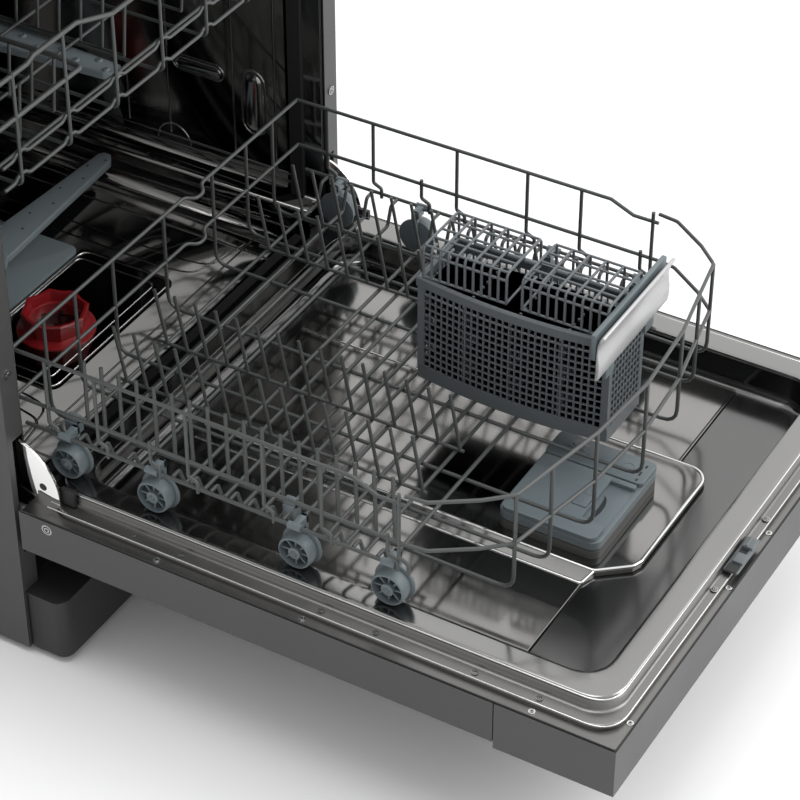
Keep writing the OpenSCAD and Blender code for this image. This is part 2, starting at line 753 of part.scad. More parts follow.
// Quarter-disc ears of the door with the hinge legs and their pins
ear_r = 59;
ear_y = 17;
ear_z = 203.5;
ear_y0 = -42;
ear_y1 = 4;
leg_w = 20;
leg_t = 4.5;
leg_z0 = door_z + sheet_t;
module door_ears() placed() color(steel) both_sides() {
    intersection() {
        rod_x([ear_x - ear_t / 2, ear_y, ear_z], ear_t, ear_r, 96);
        block([ear_x - ear_t, ear_y0, flange_z - leg_t], [ear_x + ear_t, ear_y1, ear_z + ear_r + over]);
    }
    block([ear_x - ear_t / 2 - leg_t, pivot_y - leg_w / 2, leg_z0],
          [ear_x - ear_t / 2, pivot_y + leg_w / 2, flange_z - fit]);
    rod_x([ear_x - ear_t / 2, pivot_y, pivot_z], bracket_x + bracket_t - ear_x + ear_t, pin_r);
}

// Screws of the door: two in the side faces, and rows on the liner's step and flange
liner_screw_r = 3.4;
side_screw_shares = [0.196, 0.282, 0.521, 0.612, 0.7725, 0.874];
step_screw_x = (step_x + rim_x) / 2;
tip_screw_xs = [-72.8, 42.1];
module door_screws() placed() color(steel) {
    both_sides() {
        side_screw_hole(half_w - screw_t, half_w, side_screw_r);
        for (s = side_screw_shares)
            rod_z([step_screw_x, -s * door_l, step_z], screw_t / 2, liner_screw_r, 24);
    }
    for (x = tip_screw_xs) rod_z([x, -(step_tip + rim_tip) / 2, step_z], screw_t / 2, liner_screw_r, 24);
}

// Detergent and rinse aid dispenser
disp_x0 = -75;
disp_x1 = 58;
disp_end = 133;
disp_l = 108;
disp_tip = door_tip - disp_end;
disp_start = disp_tip - disp_l;
disp_r = 9;
disp_drop = 7;
disp_z = ledge_z - disp_drop;
disp_deck = 5;
disp_base = 12;
disp_cup_x0 = -66;
disp_cup_x1 = 10;
disp_cup_in = 11;
disp_cup_r = 8;
disp_floor = 2;
lid_x1 = 18;
lid_in = 4;
rinse_x = 39;
rinse_in = 27;
rinse_y = -disp_start - rinse_in;
rinse_r = 13;
rinse_h = 4;
module dispenser_body() placed() color(plastic_grey) difference() {
    union() {
        plate([disp_x0, -disp_tip], [disp_x1, -disp_start], disp_r, recess_z - disp_base,
              disp_z - disp_deck);
        plate([lid_x1 + 2 * run, -disp_tip], [disp_x1, -disp_start], disp_r, disp_z - disp_deck, disp_z);
    }
    plate([disp_cup_x0, -disp_tip + disp_cup_in], [disp_cup_x1, -disp_start - disp_cup_in], disp_cup_r,
          recess_z - disp_base + disp_floor, disp_z);
    rod_z([rinse_x, rinse_y, disp_z - rinse_h - run], rinse_h + run + over, rinse_r + run);
}

// Sliding lid of the detergent cup, with a square pocket for its button
lid_button_x = -30;
lid_button_in = 33;
lid_button_y = -disp_tip + lid_button_in;
lid_button_w = 26;
pocket_d = 3.4;
module dispenser_lid() placed() color(plastic_grey) difference() {
    plate([disp_x0 + run, -disp_tip + lid_in], [lid_x1, -disp_start - lid_in], disp_r - lid_in / 2,
          disp_z - disp_deck + run, disp_z);
    block([lid_button_x - lid_button_w / 2 - run, lid_button_y - lid_button_w / 2 - run,
           disp_z - pocket_d],
          [lid_button_x + lid_button_w / 2 + run, lid_button_y + lid_button_w / 2 + run, disp_z + over]);
}
lid_button_travel = 1;
module dispenser_button() placed() color(plastic_grey)
    block([lid_button_x - lid_button_w / 2, lid_button_y - lid_button_w / 2,
           disp_z - pocket_d + lid_button_travel + run],
          [lid_button_x + lid_button_w / 2, lid_button_y + lid_button_w / 2, disp_z + lid_button_travel]);

// Turning cap of the rinse aid chamber, with a grip bar
cap_bar_w = 4;
cap_bar_h = 1.5;
module rinse_cap() placed() color(plastic_grey) translate([rinse_x, rinse_y, disp_z - rinse_h]) {
    rod_z([0, 0, 0], rinse_h, rinse_r);
    translate([0, 0, rinse_h + cap_bar_h / 2])
        cube([2 * rinse_r - cap_bar_w, cap_bar_w, cap_bar_h], center = true);
}

// Lower rack, rolled out: places of its wires along the sides, as shares from the back to the front
side_plane = tub_x - rack_gap;
rack_clear = 6.6;
rack_back = tub_back - duct_t - rack_clear - rack_travel;
rack_side_l = 427;
bulge_l = 112;
rack_front = rack_back - rack_side_l;
runner_rise = 22;
runner_z = rack_floor_z + runner_rise;
mid_rise = 29;
mid_rail_z = runner_z + mid_rise;
jog_rise = 11;
jog_z = runner_z + jog_rise;
jog_y = 10;
post_drop = 4;
post_z0 = runner_z - post_drop;
side_post_shares = [0.087, 0.22, 0.457, 0.651, 0.796];
stub_shares = [0.358, 0.958];
floor_shares = [0.087, 0.16, 0.22, 0.29, 0.41, 0.457, 0.51, 0.56, 0.605, 0.651, 0.695, 0.77, 0.82, 0.87,
                0.93];
front_shares = [[1, 0], [0.99, 0.19], [0.886, 0.535], [0.8, 0.745], [0.6, 0.83], [0.35, 0.94], [0, 1]];
function along(s) = rack_back - s * rack_side_l;
function mirrored(p) = [for (i = [len(p) - 1 : -1 : 0]) [-p[i][0], p[i][1]]];
function front_half(w) = [for (s = front_shares) [-s[0] * w, rack_front - s[1] * bulge_l]];
function front_line(w) = concat(front_half(w),
                                [for (i = [1 : len(front_shares) - 1]) mirrored(front_half(w))[i]]);
front_post_shares = [for (i = [3 : len(front_shares) - 1]) front_shares[i]];
long_z = rack_floor_z - wire_d + run;
eave_in = 14;
floor_in = 21.5;
module lower_rack_floor() placed() color(wire_grey) {
    for (s = floor_shares)
        upright_x(along(s)) bent([
            [-side_plane + wire_d / 2, runner_z],
            [-side_plane + eave_in, runner_z],
            [-side_plane + floor_in, rack_floor_z],
            [side_plane - floor_in, rack_floor_z],
            [side_plane - eave_in, runner_z],
            [side_plane - wire_d / 2, runner_z]], wire_d);
    for (s = front_post_shares, m = s[0] == 0 ? [1] : [-1, 1])
        translate([m * s[0] * side_plane, 0, long_z])
            block([-wire_d / 2, rack_front - s[1] * bulge_l - wire_d / 2, -wire_d / 2],
                  [wire_d / 2, rack_back - wire_d / 2, wire_d / 2]);
}

// Side grids of the lower rack: three rails, posts with a jog near the foot, and short stubs over two wheels
module side_post(y, top)
    bent([[y, top], [y, jog_z], [y - jog_y, jog_z - wire_d], [y - jog_y, post_z0]], wire_d);
module lower_rack_sides() placed() color(wire_grey) both_sides() upright_y(side_plane) {
    for (z = [rack_top, mid_rail_z]) bent([[rack_back - wire_d / 2, z], [rack_front + run, z]], wire_d);
    bent([[rack_back - 2 * wire_d, runner_z], [rack_front + 2 * wire_d, runner_z]], wire_d);
    for (s = side_post_shares) side_post(along(s), rack_top);
    for (s = stub_shares) side_post(along(s), mid_rail_z + wire_d);
}

// Bowed front and straight back of the lower rack
module lower_rack_ends() placed() color(wire_grey) {
    for (z = [rack_top, mid_rail_z]) flat(z) bent(front_line(side_plane), wire_d);
    for (s = front_post_shares, m = s[0] == 0 ? [1] : [-1, 1])
        block([m * s[0] * side_plane - wire_d / 2, rack_front - s[1] * bulge_l - wire_d / 2,
               long_z + wire_d / 2],
              [m * s[0] * side_plane + wire_d / 2, rack_front - s[1] * bulge_l + wire_d / 2,
               rack_top + wire_d / 2]);
    upright_x(rack_back) {
        for (z = [rack_top, mid_rail_z]) bent([[-side_plane, z], [side_plane, z]], wire_d);
        for (s = front_post_shares, m = s[0] == 0 ? [1] : [-1, 1])
            bent([[m * s[0] * side_plane, rack_top], [m * s[0] * side_plane, long_z]], wire_d);
    }
}

// Fixed tine rows of the lower rack, combs that stand on the floor wires
tine_d = 3.6;
tine_h = 62;
tine_pitch = 24;
tine_lean = 12;
row_z = rack_floor_z + wire_d / 2 + tine_d / 2;
row_shares = [-0.5257, -0.245, 0.506, 0.7747];
row_in = 29;
row_back = rack_back - row_in;
row_l = 352;
module comb(l, pitch, h, lean) {
    bent([[0, 0], [-l, 0]], tine_d);
    for (i = [0 : floor((l - lean) / pitch)]) bent([[-lean - i * pitch, 0], [-i * pitch, h]], tine_d);
}
module lower_rack_tines() placed() color(wire_grey)
    for (s = row_shares) upright_y(s * side_plane, tine_d) translate([row_back, row_z])
        comb(row_l, tine_pitch, tine_h, tine_lean);

// Folding tine row: a rod that turns in two clips, with tines that lean inwards
fold_side = 31;
fold_x = -side_plane + fold_side;
fold_rise = 15;
fold_z = row_z + fold_rise;
fold_rod_r = 2.2;
fold_in = 35;
fold_back = rack_back - fold_in;
fold_l = 384;
fold_pitch = 20;
fold_tilt = 15;
module folding_tines() placed() color(wire_grey) translate([fold_x, fold_back, fold_z]) {
    rod_y([0, -fold_l, 0], fold_l, fold_rod_r);
    rotate([0, fold_tilt, 0]) upright_y(0, tine_d) translate([-tine_lean, 0])
        for (i = [0 : floor((fold_l - 3 * tine_lean) / fold_pitch)])
            bent([[-tine_lean - i * fold_pitch, 0], [-i * fold_pitch, tine_h]], tine_d);
}

// Wheel places, brackets with their axles, and the clips of the folding row
wheel_shares = [0.1288, 0.3607, 0.7283, 0.9602];
wheel_ys = [for (s = wheel_shares) along(s)];
wheel_z = ledge_z + wheel_r + run;
flange_rise = 3;
flange_r = wheel_r + flange_rise;
flange_t = 3;
tread_x = ledge_x - run;
axle_r = 3;
web_t = 3;
axle_end = tread_x + wheel_w - web_t;
arm_w = 10;
bracket_top = runner_z + axle_r;
clip_shares = [0.0984, 0.6745];
clip_w = 14;
clip_l = 12;
module rack_clips() placed() color(plastic_grey) {
    both_sides() for (y = wheel_ys) {
        block([tread_x - flange_t - run - 2 * axle_r, y - arm_w / 2, wheel_z - 2 * axle_r],
              [tread_x - flange_t - run, y + arm_w / 2, bracket_top]);
        block([tread_x - flange_t - run, y - arm_w / 2, wheel_z + flange_r + run],
              [side_plane - wire_d / 2, y + arm_w / 2, bracket_top]);
        rod_x([tread_x - flange_t - run, y, wheel_z], axle_end - tread_x + flange_t, axle_r);
    }
    for (y = [for (s = clip_shares) along(s)]) difference() {
        block([fold_x - clip_w / 2, y - clip_l / 2, rack_floor_z + wire_d / 2],
              [fold_x + clip_w / 2, y + clip_l / 2, fold_z]);
        rod_y([fold_x, y - clip_l, fold_z], 2 * clip_l, fold_rod_r + turn);
    }
}

// Rack wheel: tread, inner flange, hub and eight spokes
hub_r = 7;
tread_t = 3;
spoke_t = 2;
spokes = 8;
module rack_wheel(y) translate([tread_x, y, wheel_z]) difference() {
    union() {
        difference() {
            union() {
                rod_x([0, 0, 0], wheel_w, wheel_r, 64);
                rod_x([-flange_t, 0, 0], flange_t, flange_r, 64);
            }
            rod_x([web_t, 0, 0], wheel_w, wheel_r - tread_t, 64);
        }
        rod_x([0, 0, 0], wheel_w - run, hub_r);
        for (i = [0 : spokes - 1]) rotate([i * 360 / spokes, 0, 0])
            block([0, -spoke_t / 2, 0], [wheel_w - web_t, spoke_t / 2, wheel_r - tread_t / 2]);
    }
    rod_x([-flange_t - over, 0, 0], wheel_w + flange_t + 2 * over, axle_r + turn);
}
module right_wheel(i) placed() color(plastic_grey) rack_wheel(wheel_ys[i]);
module left_wheel(i) placed() color(plastic_grey) mirror([1, 0, 0]) rack_wheel(wheel_ys[i]);

// Cutlery basket: bowed long walls with a mesh, a belt at the rim and inner partitions
basket_x = 55;
basket_in = 283;
basket_back = rack_back - basket_in;
basket_z = rack_floor_z + wire_d / 2 + fit;
basket_bow = 9;
bow_steps = 8;
belt_h = 15;
belt_t = 1.6;
band_h = 24;
mesh_cols = 8;
mesh_rows = 5;
mesh_end_cols = 3;
mesh_bar = 5;
cell_rows = 4;
basket_front = basket_back - basket_l;
basket_top = basket_z + basket_h;
mesh_z0 = basket_z + band_h;
mesh_pitch_z = (basket_h - belt_h - band_h) / mesh_rows;
mesh_pitch_y = (basket_l - 2 * mesh_bar) / mesh_cols;
mesh_pitch_x = (basket_w - 2 * mesh_bar) / mesh_end_cols;
function bow_side(o, m) = [for (i = [0 : bow_steps]) let (t = i / bow_steps)
    [m * (basket_w / 2 + o + 4 * basket_bow * t * (1 - t)), -basket_l - o + t * (basket_l + 2 * o)]];
module basket_outline(o) polygon(concat(bow_side(o, 1), backwards(bow_side(o, -1))));
module basket_body() placed() color(plastic_grey) translate([basket_x, basket_back, 0]) {
    difference() {
        union() {
            translate([0, 0, basket_z]) linear_extrude(basket_h) basket_outline(0);
            translate([0, 0, basket_top - belt_h]) linear_extrude(belt_h) basket_outline(belt_t);
        }
        translate([0, 0, basket_z + basket_wall]) linear_extrude(basket_h) basket_outline(-basket_wall);
        for (i = [0 : mesh_cols - 1], k = [0 : mesh_rows - 1])
            block([-basket_w, -mesh_bar * 1.5 - (i + 1) * mesh_pitch_y + mesh_bar,
                   mesh_z0 + k * mesh_pitch_z],
                  [basket_w, -mesh_bar * 1.5 - i * mesh_pitch_y,
                   mesh_z0 + (k + 1) * mesh_pitch_z - mesh_bar]);
        for (i = [0 : mesh_end_cols - 1], k = [0 : mesh_rows - 1])
            block([-basket_w / 2 + mesh_bar * 1.5 + i * mesh_pitch_x, -basket_l - over,
                   mesh_z0 + k * mesh_pitch_z],
                  [-basket_w / 2 + mesh_bar / 2 + (i + 1) * mesh_pitch_x, over,
                   mesh_z0 + (k + 1) * mesh_pitch_z - mesh_bar]);
    }
    for (i = [1 : cell_rows - 1])
        block([-basket_w / 2, -i * basket_l / cell_rows - basket_wall / 2, basket_z],
              [basket_w / 2, -i * basket_l / cell_rows + basket_wall / 2, basket_top - belt_h]);
}

// Lid cages of the basket: a grid over posts, hinged along the far rim
lid_gap = 14;
lid_in_y = 4;
lid_over = 2;
lid_w = basket_w + lid_over;
lid_l = (basket_l - 2 * lid_in_y - lid_gap) / 2;
lid_bar = 3;
lid_cols = 4;
lid_rows = 5;
barrel_r = 2.5;
lid_z0 = basket_top + run;
lid_pitch_x = (lid_w - lid_bar) / lid_cols;
lid_pitch_y = (lid_l - lid_bar) / lid_rows;
module basket_lid(y1) placed() color(plastic_grey) translate([basket_x - lid_w / 2, y1 - lid_l, 0]) {
    translate([0, 0, lid_z0 + lid_h - lid_bar]) linear_extrude(lid_bar) {
        for (i = [0 : lid_cols]) translate([i * lid_pitch_x, 0]) square([lid_bar, lid_l]);
        for (i = [0 : lid_rows]) translate([0, i * lid_pitch_y]) square([lid_w, lid_bar]);
    }
    for (i = [0 : lid_rows], s = [0, 1])
        block([s * (lid_w - lid_bar), i * lid_pitch_y, lid_z0 + s * barrel_r],
              [s * (lid_w - lid_bar) + lid_bar, i * lid_pitch_y + lid_bar, lid_z0 + lid_h]);
    rod_y([lid_w - lid_bar / 2, 0, lid_z0 + barrel_r], lid_l, barrel_r);
}
module basket_lid_rear() basket_lid(basket_back - lid_in_y);
module basket_lid_front() basket_lid(basket_back - lid_in_y - lid_l - lid_gap);

// Handle bar across the front of the basket: a waved plate
handle_h = 52;
handle_t = 9;
handle_drop = 5;
handle_z = basket_top + lid_h - handle_drop - handle_h;
handle_shares = [[0, 0], [0.35, 0], [0.55, 0.3], [0.35, 0.5], [0.6, 0.8], [1, 0.88], [0.9, 1], [0.3, 1],
                 [0, 0.9]];
module basket_handle() placed() color(light_grey)
    translate([basket_x - handle_l / 2, basket_front - belt_t, handle_z]) rotate([90, 0, 90])
        linear_extrude(handle_l)
        polygon([for (s = handle_shares) [-s[0] * handle_t, s[1] * handle_h]]);

// Upper rack, pushed in: floor grid
upper_cols = 6;
upper_in = 40;
upper_far_in = 10;
upper_rows = 13;
upper_plane = side_plane;
upper_pitch_x = (2 * upper_plane - upper_in - upper_far_in) / upper_cols;
upper_pitch_y = upper_l / upper_rows;
module upper_rack_floor() placed() color(wire_grey) {
    flat(upper_floor_z) for (i = [0 : upper_rows])
        bent([[-upper_plane + wire_d / 2, upper_front + i * upper_pitch_y],
              [upper_plane - wire_d / 2, upper_front + i * upper_pitch_y]],
             wire_d);
    flat(upper_floor_z - wire_d + run) for (i = [0 : upper_cols])
        bent([[-upper_plane + upper_in + i * upper_pitch_x, upper_front],
              [-upper_plane + upper_in + i * upper_pitch_x, upper_back]], wire_d);
}

// Upper rack: four wire walls, the dipped front rail and the glider bars in the channels
upper_mid_drop = 48;
upper_mid_z = upper_top - upper_mid_drop;
dip = 18;
dip_x = 60;
dip_slope = 55;
glider_w = 3.3;
glider_in = 6;
glider_h = 14;
glider_gap = 1.5;
upper_wall_z = upper_floor_z + wire_d / 2;
module upper_end(y, d) upright_x(y) {
    bent([[-upper_plane, upper_top], [-dip_x - dip_slope, upper_top], [-dip_x, upper_top - d],
          [dip_x, upper_top - d], [dip_x + dip_slope, upper_top], [upper_plane, upper_top]], wire_d);
    bent([[-upper_plane, upper_mid_z], [upper_plane, upper_mid_z]], wire_d);
    for (x = concat([-upper_plane, upper_plane],
                    [for (i = [0 : upper_cols]) -upper_plane + upper_in + i * upper_pitch_x]))
        bent([[x, upper_wall_z], [x, abs(x) < upper_plane ? upper_top - d : upper_top]], wire_d);
}
module upper_rack_walls() placed() color(wire_grey) {
    upper_end(upper_front, dip);
    upper_end(upper_back, 0);
    both_sides() {
        upright_y(upper_plane) {
            for (z = [upper_top, upper_mid_z])
                bent([[upper_front, z], [upper_back, z]], wire_d);
            for (i = [1 : 2 : upper_rows - 1])
                bent([[upper_front + i * upper_pitch_y, upper_wall_z],
                      [upper_front + i * upper_pitch_y, upper_top]], wire_d);
        }
        block([tub_x - rail_w + glider_gap, upper_front + glider_in, rail_z - glider_h / 2],
              [tub_x - rail_w + glider_gap + glider_w, upper_back, rail_z + glider_h / 2]);
        for (i = [1, upper_rows / 2, upper_rows - 1])
            translate([upper_plane + wire_d / 2, upper_front + i * upper_pitch_y - arm_w / 2,
                       rail_z - glider_h / 4])
                cube([tub_x - rail_w + glider_gap - upper_plane - wire_d / 2, arm_w, glider_h / 2]);
    }
}

// Feed tube under the upper rack with the spigot of the upper spray arm
feed_r = 7;
upper_spigot_r = 6;
nut_r = 10;
nut_h = 5;
module upper_feed_tube() placed() color(plastic_grey) {
    rod_y([0, arm_y, feed_z], tub_back - duct_t - port_tube_l - fit - arm_y, feed_r);
    rod_z([0, arm_y, upper_arm_z + arm_t / 2 + run], feed_z - upper_arm_z, spigot_r);
    rod_z([0, arm_y, upper_arm_z - arm_t / 2 - nut_h], arm_t + nut_h + run, upper_spigot_r);
    rod_z([0, arm_y, upper_arm_z - arm_t / 2 - nut_h], nut_h - run, nut_r);
}

// Spray arms: two tapered blades round a hub, with jets
blade_root = 25;
blade_tip = 15;
jets = 4;
jet_r = 2.5;
arm_hub_r = 27;
module spray_arm(r, bore, hub) difference() {
    union() {
        linear_extrude(arm_t, center = true) {
            polygon([[-r + blade_tip, -blade_tip], [0, -blade_root], [r - blade_tip, -blade_tip],
                     [r - blade_tip, blade_tip], [0, blade_root], [-r + blade_tip, blade_tip]]);
            for (m = [-1, 1]) translate([m * (r - blade_tip), 0]) circle(blade_tip, $fn = 32);
            circle(hub, $fn = 48);
        }
    }
    translate([0, 0, -arm_t]) cylinder(2 * arm_t, bore, bore, $fn = 32);
    for (m = [-1, 1], i = [1 : jets]) translate([m * i * r / (jets + 1), m * blade_tip / 3, -arm_t])
        cylinder(2 * arm_t, jet_r, jet_r, $fn = 16);
}
module lower_spray_arm() placed() color(plastic_grey) translate([0, arm_y, arm_z])
    spray_arm(ledge_x - lower_arm_gap, spigot_r + turn, arm_hub_r);
module upper_spray_arm() placed() color(plastic_grey) translate([0, arm_y, upper_arm_z]) rotate(90)
    spray_arm(upper_arm_r, upper_spigot_r + turn, arm_hub_r);

base_tray();
kickplate();
levelling_feet();
side_panel_left();
side_panel_right();
back_panel();
worktop();
front_frame();
tub_wrap();
tub_floor();
door_gasket();
upper_rack_rails();
sump();
filter_plate();
circulation_pump();
drain_pump();
softener_tank();
inlet_valve();
feed_duct();
hinge_brackets();
cabinet_screws();
latch_strike();
door_outer_panel();
control_console();
door_liner();
door_latch();
door_lip_seal();
door_ears();
door_screws();
dispenser_body();
dispenser_lid();
dispenser_button();
rinse_cap();
power_button();
program_button();
start_button();
lower_rack_floor();
lower_rack_sides();
lower_rack_ends();
lower_rack_tines();
rack_clips();
folding_tines();
for (i = [0 : len(wheel_ys) - 1]) {
    left_wheel(i);
    right_wheel(i);
}
basket_body();
basket_lid_rear();
basket_lid_front();
basket_handle();
upper_rack_floor();
upper_rack_walls();
upper_feed_tube();
upper_spray_arm();
lower_spray_arm();
filter_cup();
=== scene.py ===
import math
import bpy
import bmesh
from mathutils import Matrix, Vector


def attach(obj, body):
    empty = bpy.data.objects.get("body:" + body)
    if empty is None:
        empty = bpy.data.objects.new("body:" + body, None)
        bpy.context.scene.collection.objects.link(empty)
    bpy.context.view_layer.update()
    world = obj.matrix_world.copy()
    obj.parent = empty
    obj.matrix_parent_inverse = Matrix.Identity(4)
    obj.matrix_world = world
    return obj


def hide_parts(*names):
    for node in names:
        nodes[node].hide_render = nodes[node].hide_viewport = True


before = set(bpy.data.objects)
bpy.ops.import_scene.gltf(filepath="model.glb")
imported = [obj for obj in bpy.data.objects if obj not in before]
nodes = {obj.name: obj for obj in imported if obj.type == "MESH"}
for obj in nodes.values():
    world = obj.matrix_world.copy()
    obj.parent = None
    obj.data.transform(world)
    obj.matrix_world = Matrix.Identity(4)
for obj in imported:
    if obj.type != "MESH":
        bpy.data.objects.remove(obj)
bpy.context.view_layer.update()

# Freestanding dishwasher, door open, lower rack rolled out. Lengths below are in millimetres:
# x across, y from the front posts to the back, z up from the floor.
frameShift = 46
crisp = 0.1  # bend radius of seams, beads and rings that need no rounding
print("frame loaded:", len(nodes), "nodes")


def point(x, y, z):
    return Vector((x / 1000, (y + frameShift) / 1000, z / 1000))


# materials
def newMaterial(name):
    material = bpy.data.materials.new(name)
    material.use_nodes = True
    return material, material.node_tree.nodes, material.node_tree.links


def noiseFrom(treeNodes, links, scale, detail, stretch=(1, 1, 1)):
    coords = treeNodes.new("ShaderNodeTexCoord")
    mapping = treeNodes.new("ShaderNodeMapping")
    mapping.inputs["Scale"].default_value = stretch
    noise = treeNodes.new("ShaderNodeTexNoise")
    noise.inputs["Scale"].default_value = scale
    noise.inputs["Detail"].default_value = detail
    links.new(coords.outputs["Object"], mapping.inputs["Vector"])
    links.new(mapping.outputs["Vector"], noise.inputs["Vector"])
    return noise.outputs["Fac"]


def ranged(treeNodes, links, source, low, high):
    ramp = treeNodes.new("ShaderNodeMapRange")
    ramp.inputs["From Min"].default_value = 0.3
    ramp.inputs["From Max"].default_value = 0.7
    ramp.inputs["To Min"].default_value = low
    ramp.inputs["To Max"].default_value = high
    links.new(source, ramp.inputs["Value"])
    return ramp.outputs["Result"]


finishes = {}
mottling = {
    "scale": 9, "detail": 3, "glossSpread": 0.04, "leastRough": 0.02, "grainDetail": 2,
    "grainDepth": 0.0004,
}


# A finish: colour with a slight mottle, uneven gloss and a fine surface grain
def finish(name, colour, rough, metal=0.0, coat=0.0, mottle=0.06, grain=300, bump=0.02, stretch=(1, 1, 1)):
    material, treeNodes, links = newMaterial(name)
    m = mottling
    shader = treeNodes["Principled BSDF"]
    shader.inputs["Metallic"].default_value = metal
    shader.inputs["Coat Weight"].default_value = coat
    wide = noiseFrom(treeNodes, links, m["scale"], m["detail"])
    mix = treeNodes.new("ShaderNodeMixRGB")
    mix.inputs["Color1"].default_value = (*[c * (1 - mottle) for c in colour], 1)
    mix.inputs["Color2"].default_value = (*[min(1, c * (1 + mottle)) for c in colour], 1)
    links.new(wide, mix.inputs["Fac"])
    links.new(mix.outputs["Color"], shader.inputs["Base Color"])
    fine = noiseFrom(treeNodes, links, grain, m["grainDetail"], stretch)
    glossy, dull = max(m["leastRough"], rough - m["glossSpread"]), rough + m["glossSpread"]
    links.new(ranged(treeNodes, links, wide, glossy, dull), shader.inputs["Roughness"])
    bumpNode = treeNodes.new("ShaderNodeBump")
    bumpNode.inputs["Strength"].default_value = bump
    bumpNode.inputs["Distance"].default_value = m["grainDepth"]
    links.new(fine, bumpNode.inputs["Height"])
    links.new(bumpNode.outputs["Normal"], shader.inputs["Normal"])
    finishes[name] = material


finish("outerLacquer", (0.046, 0.047, 0.046), 0.42, grain=900, bump=0.05)
finish("worktopLaminate", (0.07, 0.07, 0.07), 0.45, grain=700, bump=0.08)
finish("revealLacquer", (0.012, 0.012, 0.012), 0.28, grain=600, bump=0.03)
# tub steel darkened well below stainless: painted shade inside the enclosed tub
finish("tubShadeSteel", (0.15, 0.148, 0.145), 0.10, metal=1, grain=160, bump=0.03, stretch=(1, 1, 6))
# tub ridges, beads and bulges in a brightened steel: painted highlights on the pressings
finish("ridgeHighlightSteel", (0.44, 0.435, 0.43), 0.14, metal=1)
# tub floor steel darker still: painted shade on the tub floor
finish("floorShadeSteel", (0.125, 0.123, 0.12), 0.11, metal=1, grain=160, bump=0.03)
# door liner recess steel darkened: painted shade in the recess under the racks
finish("recessShadeSteel", (0.15, 0.149, 0.148), 0.15, metal=1, grain=140, bump=0.02)
finish("rimSteel", (0.21, 0.207, 0.2), 0.36, metal=1, grain=500, bump=0.03)
finish("slabSteel", (0.27, 0.265, 0.258), 0.12, metal=1, grain=140, bump=0.02)
finish("ledgeSteel", (0.27, 0.268, 0.262), 0.14, metal=1, grain=500, bump=0.04, stretch=(8, 1, 1))
# bright steel: on the liner beads, plateau edges, screw rings and filter rims it is a painted highlight;
# rails and strike are bright metal
finish("highlightAndBrightSteel", (0.72, 0.72, 0.71), 0.10, metal=1, grain=300, bump=0.01)
finish("earSteel", (0.80, 0.80, 0.79), 0.08, metal=1, grain=300, bump=0.01)
finish("screwSteel", (0.42, 0.42, 0.42), 0.25, metal=1)
finish("zincSheet", (0.42, 0.43, 0.43), 0.38, metal=1, mottle=0.16, grain=60, bump=0.05)
finish("blackRubber", (0.016, 0.016, 0.016), 0.60, grain=1200, bump=0.10)
finish("basePlastic", (0.02, 0.02, 0.021), 0.48, grain=1500, bump=0.08)
finish("pumpPlastic", (0.03, 0.03, 0.03), 0.42, grain=1500, bump=0.08)
finish("palePlastic", (0.62, 0.62, 0.59), 0.40, grain=1500, bump=0.05)
finish("greyPlastic", (0.122, 0.148, 0.160), 0.40, grain=1500, bump=0.06)
finish("basketPlastic", (0.108, 0.122, 0.129), 0.42, grain=1500, bump=0.06)
finish("armPlastic", (0.180, 0.212, 0.226), 0.45, grain=1500, bump=0.06)
finish("consolePlastic", (0.050, 0.051, 0.050), 0.42, grain=1200, bump=0.05)
finish("skirtPlastic", (0.055, 0.055, 0.053), 0.42, grain=1500, bump=0.05)
# near-black plastic: the gap round the button, and painted shade in the finger hollow
finish("gapAndHollowShade", (0.018, 0.022, 0.024), 0.5)
finish("keySilver", (0.45, 0.45, 0.45), 0.30, metal=0.6)
finish("wireCoat", (0.062, 0.067, 0.066), 0.36, grain=800, bump=0.04)
finish("handleSilver", (0.48, 0.48, 0.485), 0.30, metal=0.35, grain=700, bump=0.03)
finish("filterRed", (0.23, 0.010, 0.013), 0.30, coat=0.3, grain=900, bump=0.03)
print("materials made:", len(finishes))


# making pieces
def addBlock(bm, low, high):
    a, b = point(*low), point(*high)
    size = Matrix.Diagonal((*(b - a), 1))
    return bmesh.ops.create_cube(bm, size=1, matrix=Matrix.Translation((a + b) / 2) @ size)["verts"]


# A block on one side of the machine: x runs outwards, and side is -1 or 1
def addSideBlock(bm, side, low, high):
    x0, x1 = sorted((side * low[0], side * high[0]))
    addBlock(bm, (x0, *low[1:]), (x1, *high[1:]))


# A block that lies off a middle point and is turned round it
def addTurnedBlock(bm, middle, axis, turn, away, size):
    spot, form = Vector(away) / 1000, [length / 1000 for length in size]
    matrix = Matrix.Rotation(turn, 4, axis) @ Matrix.Translation(spot) @ Matrix.Diagonal((*form, 1))
    made = bmesh.ops.create_cube(bm, size=1, matrix=matrix)
    bmesh.ops.translate(bm, vec=middle, verts=made["verts"])


def addRod(bm, start, end, radius, sides=24, endRadius=None):
    a, b = point(*start), point(*end)
    turn = (b - a).to_track_quat("Z", "Y").to_matrix().to_4x4()
    last = radius if endRadius is None else endRadius
    return bmesh.ops.create_cone(
        bm, cap_ends=True, segments=sides, radius1=radius / 1000, radius2=last / 1000, depth=(b - a).length,
        matrix=Matrix.Translation((a + b) / 2) @ turn)["verts"]


# A face through the corners, drawn out by a shift; gives the vertices of its far end
def addPrism(bm, corners, shift):
    face = bm.faces.new([bm.verts.new(point(*corner)) for corner in corners])
    made = bmesh.ops.extrude_face_region(bm, geom=[face])
    ends = [g for g in made["geom"] if isinstance(g, bmesh.types.BMVert)]
    bmesh.ops.translate(bm, vec=Vector(shift) / 1000, verts=ends)
    bmesh.ops.recalc_face_normals(bm, faces=bm.faces)
    return ends


def joinedUp(bm, verts):
    return [bm.edges.new(pair) for pair in zip(verts, verts[1:] + verts[:1])]


